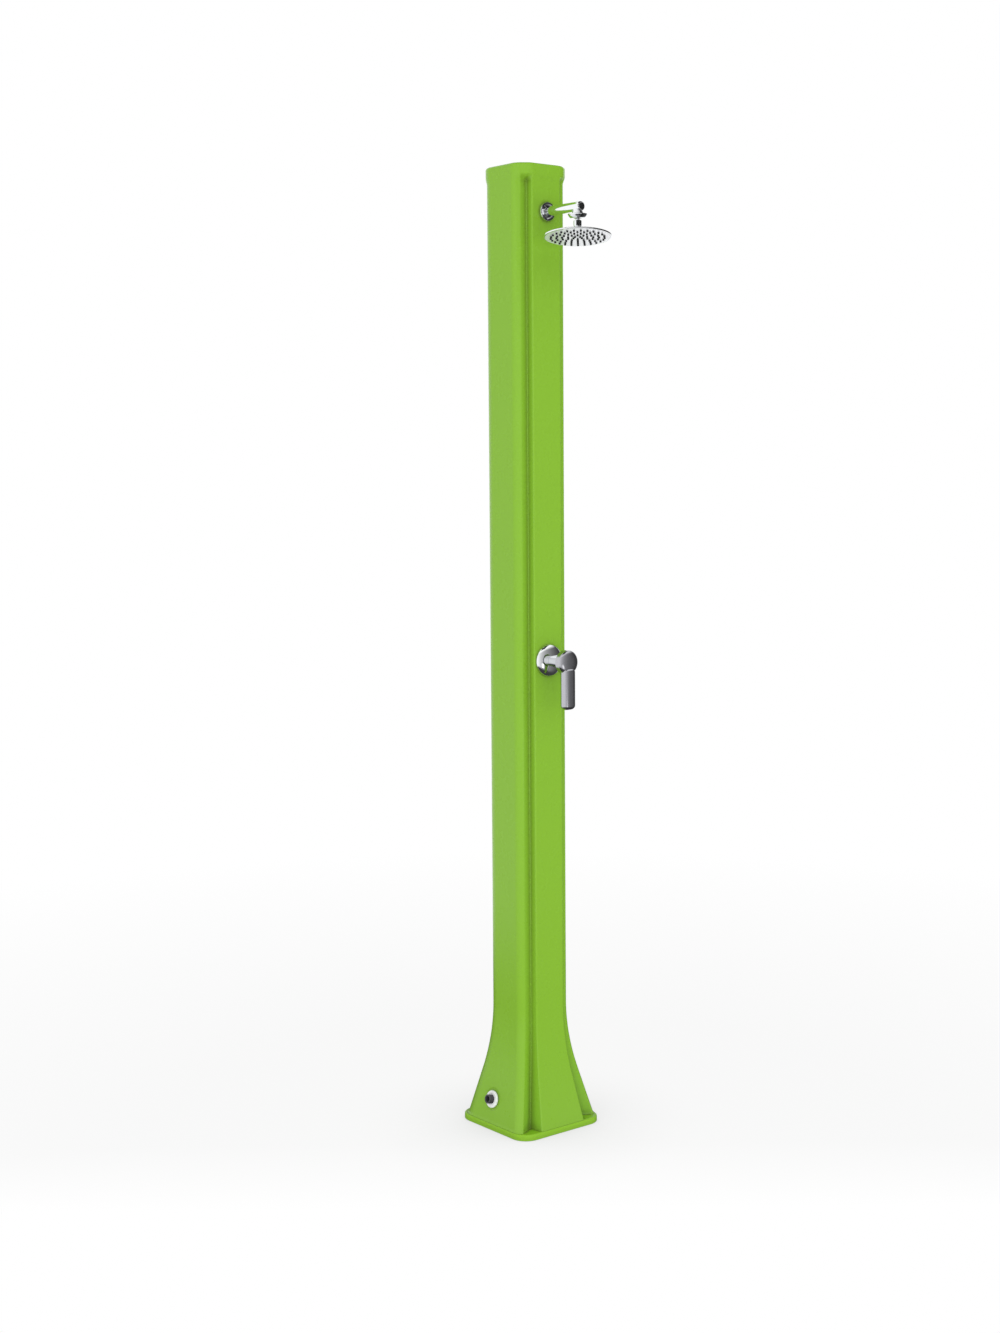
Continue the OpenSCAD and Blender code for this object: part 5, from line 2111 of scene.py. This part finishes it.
@dataclass(frozen=True)
class FloorPaint(Finish):
    """The pale floor, which fades to white away from the post, with a soft shadow painted round the post's
    foot.
    """

    surround: Surround
    heading: float
    fade_start: float = 0.9
    fade_stop: float = 3.2
    near_start: float = 0.17
    near_stop: float = 0.55
    dark: float = 0.05
    dark_start: float = 1.3
    dark_stop: float = 2.0
    lift: float = 0.88
    contact_reach: float = 0.3
    contact_shade: float = 0.4

    def shader(self, graph: Graph) -> Wire:
        """Returns the floor's shader.

        Args:
            graph: The graph that the nodes are added to.

        Returns:
            The mixed shader.
        """
        place = graph.place()
        radius = graph.node("ShaderNodeVectorMath", {"operation": "LENGTH"}, {0: place}, "Value")
        out = graph.node("ShaderNodeVectorMath", {"operation": "NORMALIZE"}, {0: place})
        front = towards(self.heading)
        towards_camera = graph.axis(place, "X") * front.x + graph.axis(place, "Y") * front.y
        near = towards_camera.step(self.near_start, self.near_stop)
        far = radius.step(self.fade_start, self.fade_stop).at_least(near)
        outer = radius.step(self.dark_start, self.dark_stop)
        glossy = graph.is_ray(Ray.GLOSSY)
        # Painted reflection: metal sees the floor as dark near the post and as the surround's brightness
        # farther out, whatever the floor's own colour.
        mirrored = self.surround.on_metal(graph, out) * outer + (1.0 - outer) * self.dark
        # Painted shadow: the floor's glow darkens where the post and plate hem it in.
        seen = 1.0 - (1.0 - graph.openness(self.contact_reach)) * self.contact_shade
        level = glossy * (mirrored - seen) + seen
        shade = graph.node("ShaderNodeBsdfDiffuse", None, {"Color": self.colour.linear()})
        glow = graph.node("ShaderNodeEmission", None, {"Color": level, "Strength": 1.0})
        lifted = graph.is_ray(Ray.CAMERA) * far * (1.0 - self.lift) + self.lift
        return graph.node("ShaderNodeMixShader", None, {0: lifted.at_least(glossy), 1: shade, 2: glow})


@dataclass(frozen=True)
class Card:
    """A studio card, dark or bright, that only polished metal sees."""

    name: str
    middle: tuple[float, float, float]
    facing: tuple[float, float, float]
    width: float
    height: float
    level: float

    def make(self) -> None:
        """Holds the card up, turned to the metal that should show it."""
        middle = Vector(self.middle)
        turn = (Vector(self.facing) - middle).to_track_quat("Z", "Y").to_matrix().to_4x4()
        across, up = self.width / 2, self.height / 2
        corners = [Vector((sx * across, sy * up, 0)) for sx, sy in ((-1, -1), (1, -1), (1, 1), (-1, 1))]
        made = Skin(corners, [(0, 1, 2, 3)]).moved(Matrix.Translation(middle) @ turn).to_object(self.name)
        made.data.materials.append(CardGlow(self.name, WHITE_LIGHT, self.level).material())
        made.visible_camera = False
        made.visible_diffuse = False
        made.visible_shadow = False
        made.visible_transmission = False


@dataclass
class Studio:
    """A pale floor, the surround, the cards and the camera, which stands where the photo was taken.

    Headings are in degrees from the post's front, positive towards its left face.
    """

    camera_place: tuple[float, float, float] = (-2.78634, -3.37903, 1.52655)
    heading: float = 38.663
    pitch: float = -5.888
    roll: float = -0.427
    lens: float = 51.55
    sensor: float = 36.0
    clip_end: float = 100.0
    floor_radius: float = 14.0
    floor_sides: int = 96
    floor_colour: Colour = Colour(243.4, 243.4, 243.4)
    # Reflection-only cards: the flags paint dark reflections into the chrome near the head, and the hub
    # glint paints a highlight on the handle's hub.
    cards: tuple[Card, ...] = (
        Card("high_flag", (0.15, -0.3, 2.95), (0.0, -0.2, 2.1), 2.0, 1.4, 0.04),
        Card("neck_flag", (-0.27, -0.54, 2.06), (0.0, -0.18, 2.06), 0.67, 0.135, 0.02),
        Card("nut_flag", (-0.188, -0.414, 2.213), (0.0, -0.18, 2.06), 0.6, 0.075, 0.02),
        Card("end_flag", (0.25, -0.5, 2.14), (0.0, -0.19, 2.09), 0.45, 0.3, 0.02),
        Card("hub_glint", (-0.03, -0.89, 0.77), (0.0, -0.15, 1.08), 0.26, 0.26, 1.7),
    )

    def floor(self, surround: Surround) -> None:
        """Lays the round floor.

        Args:
            surround: The surround that the floor shows to metal.
        """
        rim = arc((0, 0), self.floor_radius, 0, 360, self.floor_sides)[:-1]
        made = Skin([Vector((p.x, p.y, 0)) for p in rim], [tuple(range(len(rim)))]).to_object("floor")
        paint = FloorPaint("Pale floor", self.floor_colour, surround, self.heading)
        made.data.materials.append(paint.material())

    def camera(self) -> None:
        """Places the camera."""
        data = bpy.data.cameras.new("Camera")
        data.lens = self.lens
        data.sensor_width = self.sensor
        data.clip_end = self.clip_end
        made = bpy.data.objects.new("Camera", data)
        bpy.context.scene.collection.objects.link(made)
        turn = Matrix.Rotation(math.radians(-self.heading), 4, "Z")
        tip = Matrix.Rotation(math.radians(90 + self.pitch), 4, "X")
        lean = Matrix.Rotation(math.radians(self.roll), 4, "Z")
        made.matrix_world = Matrix.Translation(self.camera_place) @ turn @ tip @ lean
        bpy.context.scene.camera = made

    def make(self) -> None:
        """Builds the studio."""
        self.camera()
        surround = Surround()
        surround.make()
        self.floor(surround)
        for card in self.cards:
            card.make()
        bpy.context.scene.view_settings.view_transform = "Standard"
        LOG.info("studio: %d cards", len(self.cards))


def main() -> None:
    """Builds the studio and every shown piece, in order."""
    logging.basicConfig(level=logging.INFO, format="%(name)s: %(message)s")
    Studio().make()
    places = Places.from_frame(frame)
    shop = Workshop(Palette())
    shop.dress_nodes(frame["nodes"], frame["record"])
    inlet = Inlet()
    Column().make(shop, places, inlet.face(places))
    BasePlate().make(shop)
    inlet.make(shop, places)
    Mixer().make(shop, places)
    Handle().make(shop, places)
    Arm().make(shop, places)
    BallJoint().make(shop, places)
    RainHead().make(shop, places)


if __name__ == "__main__":
    main()
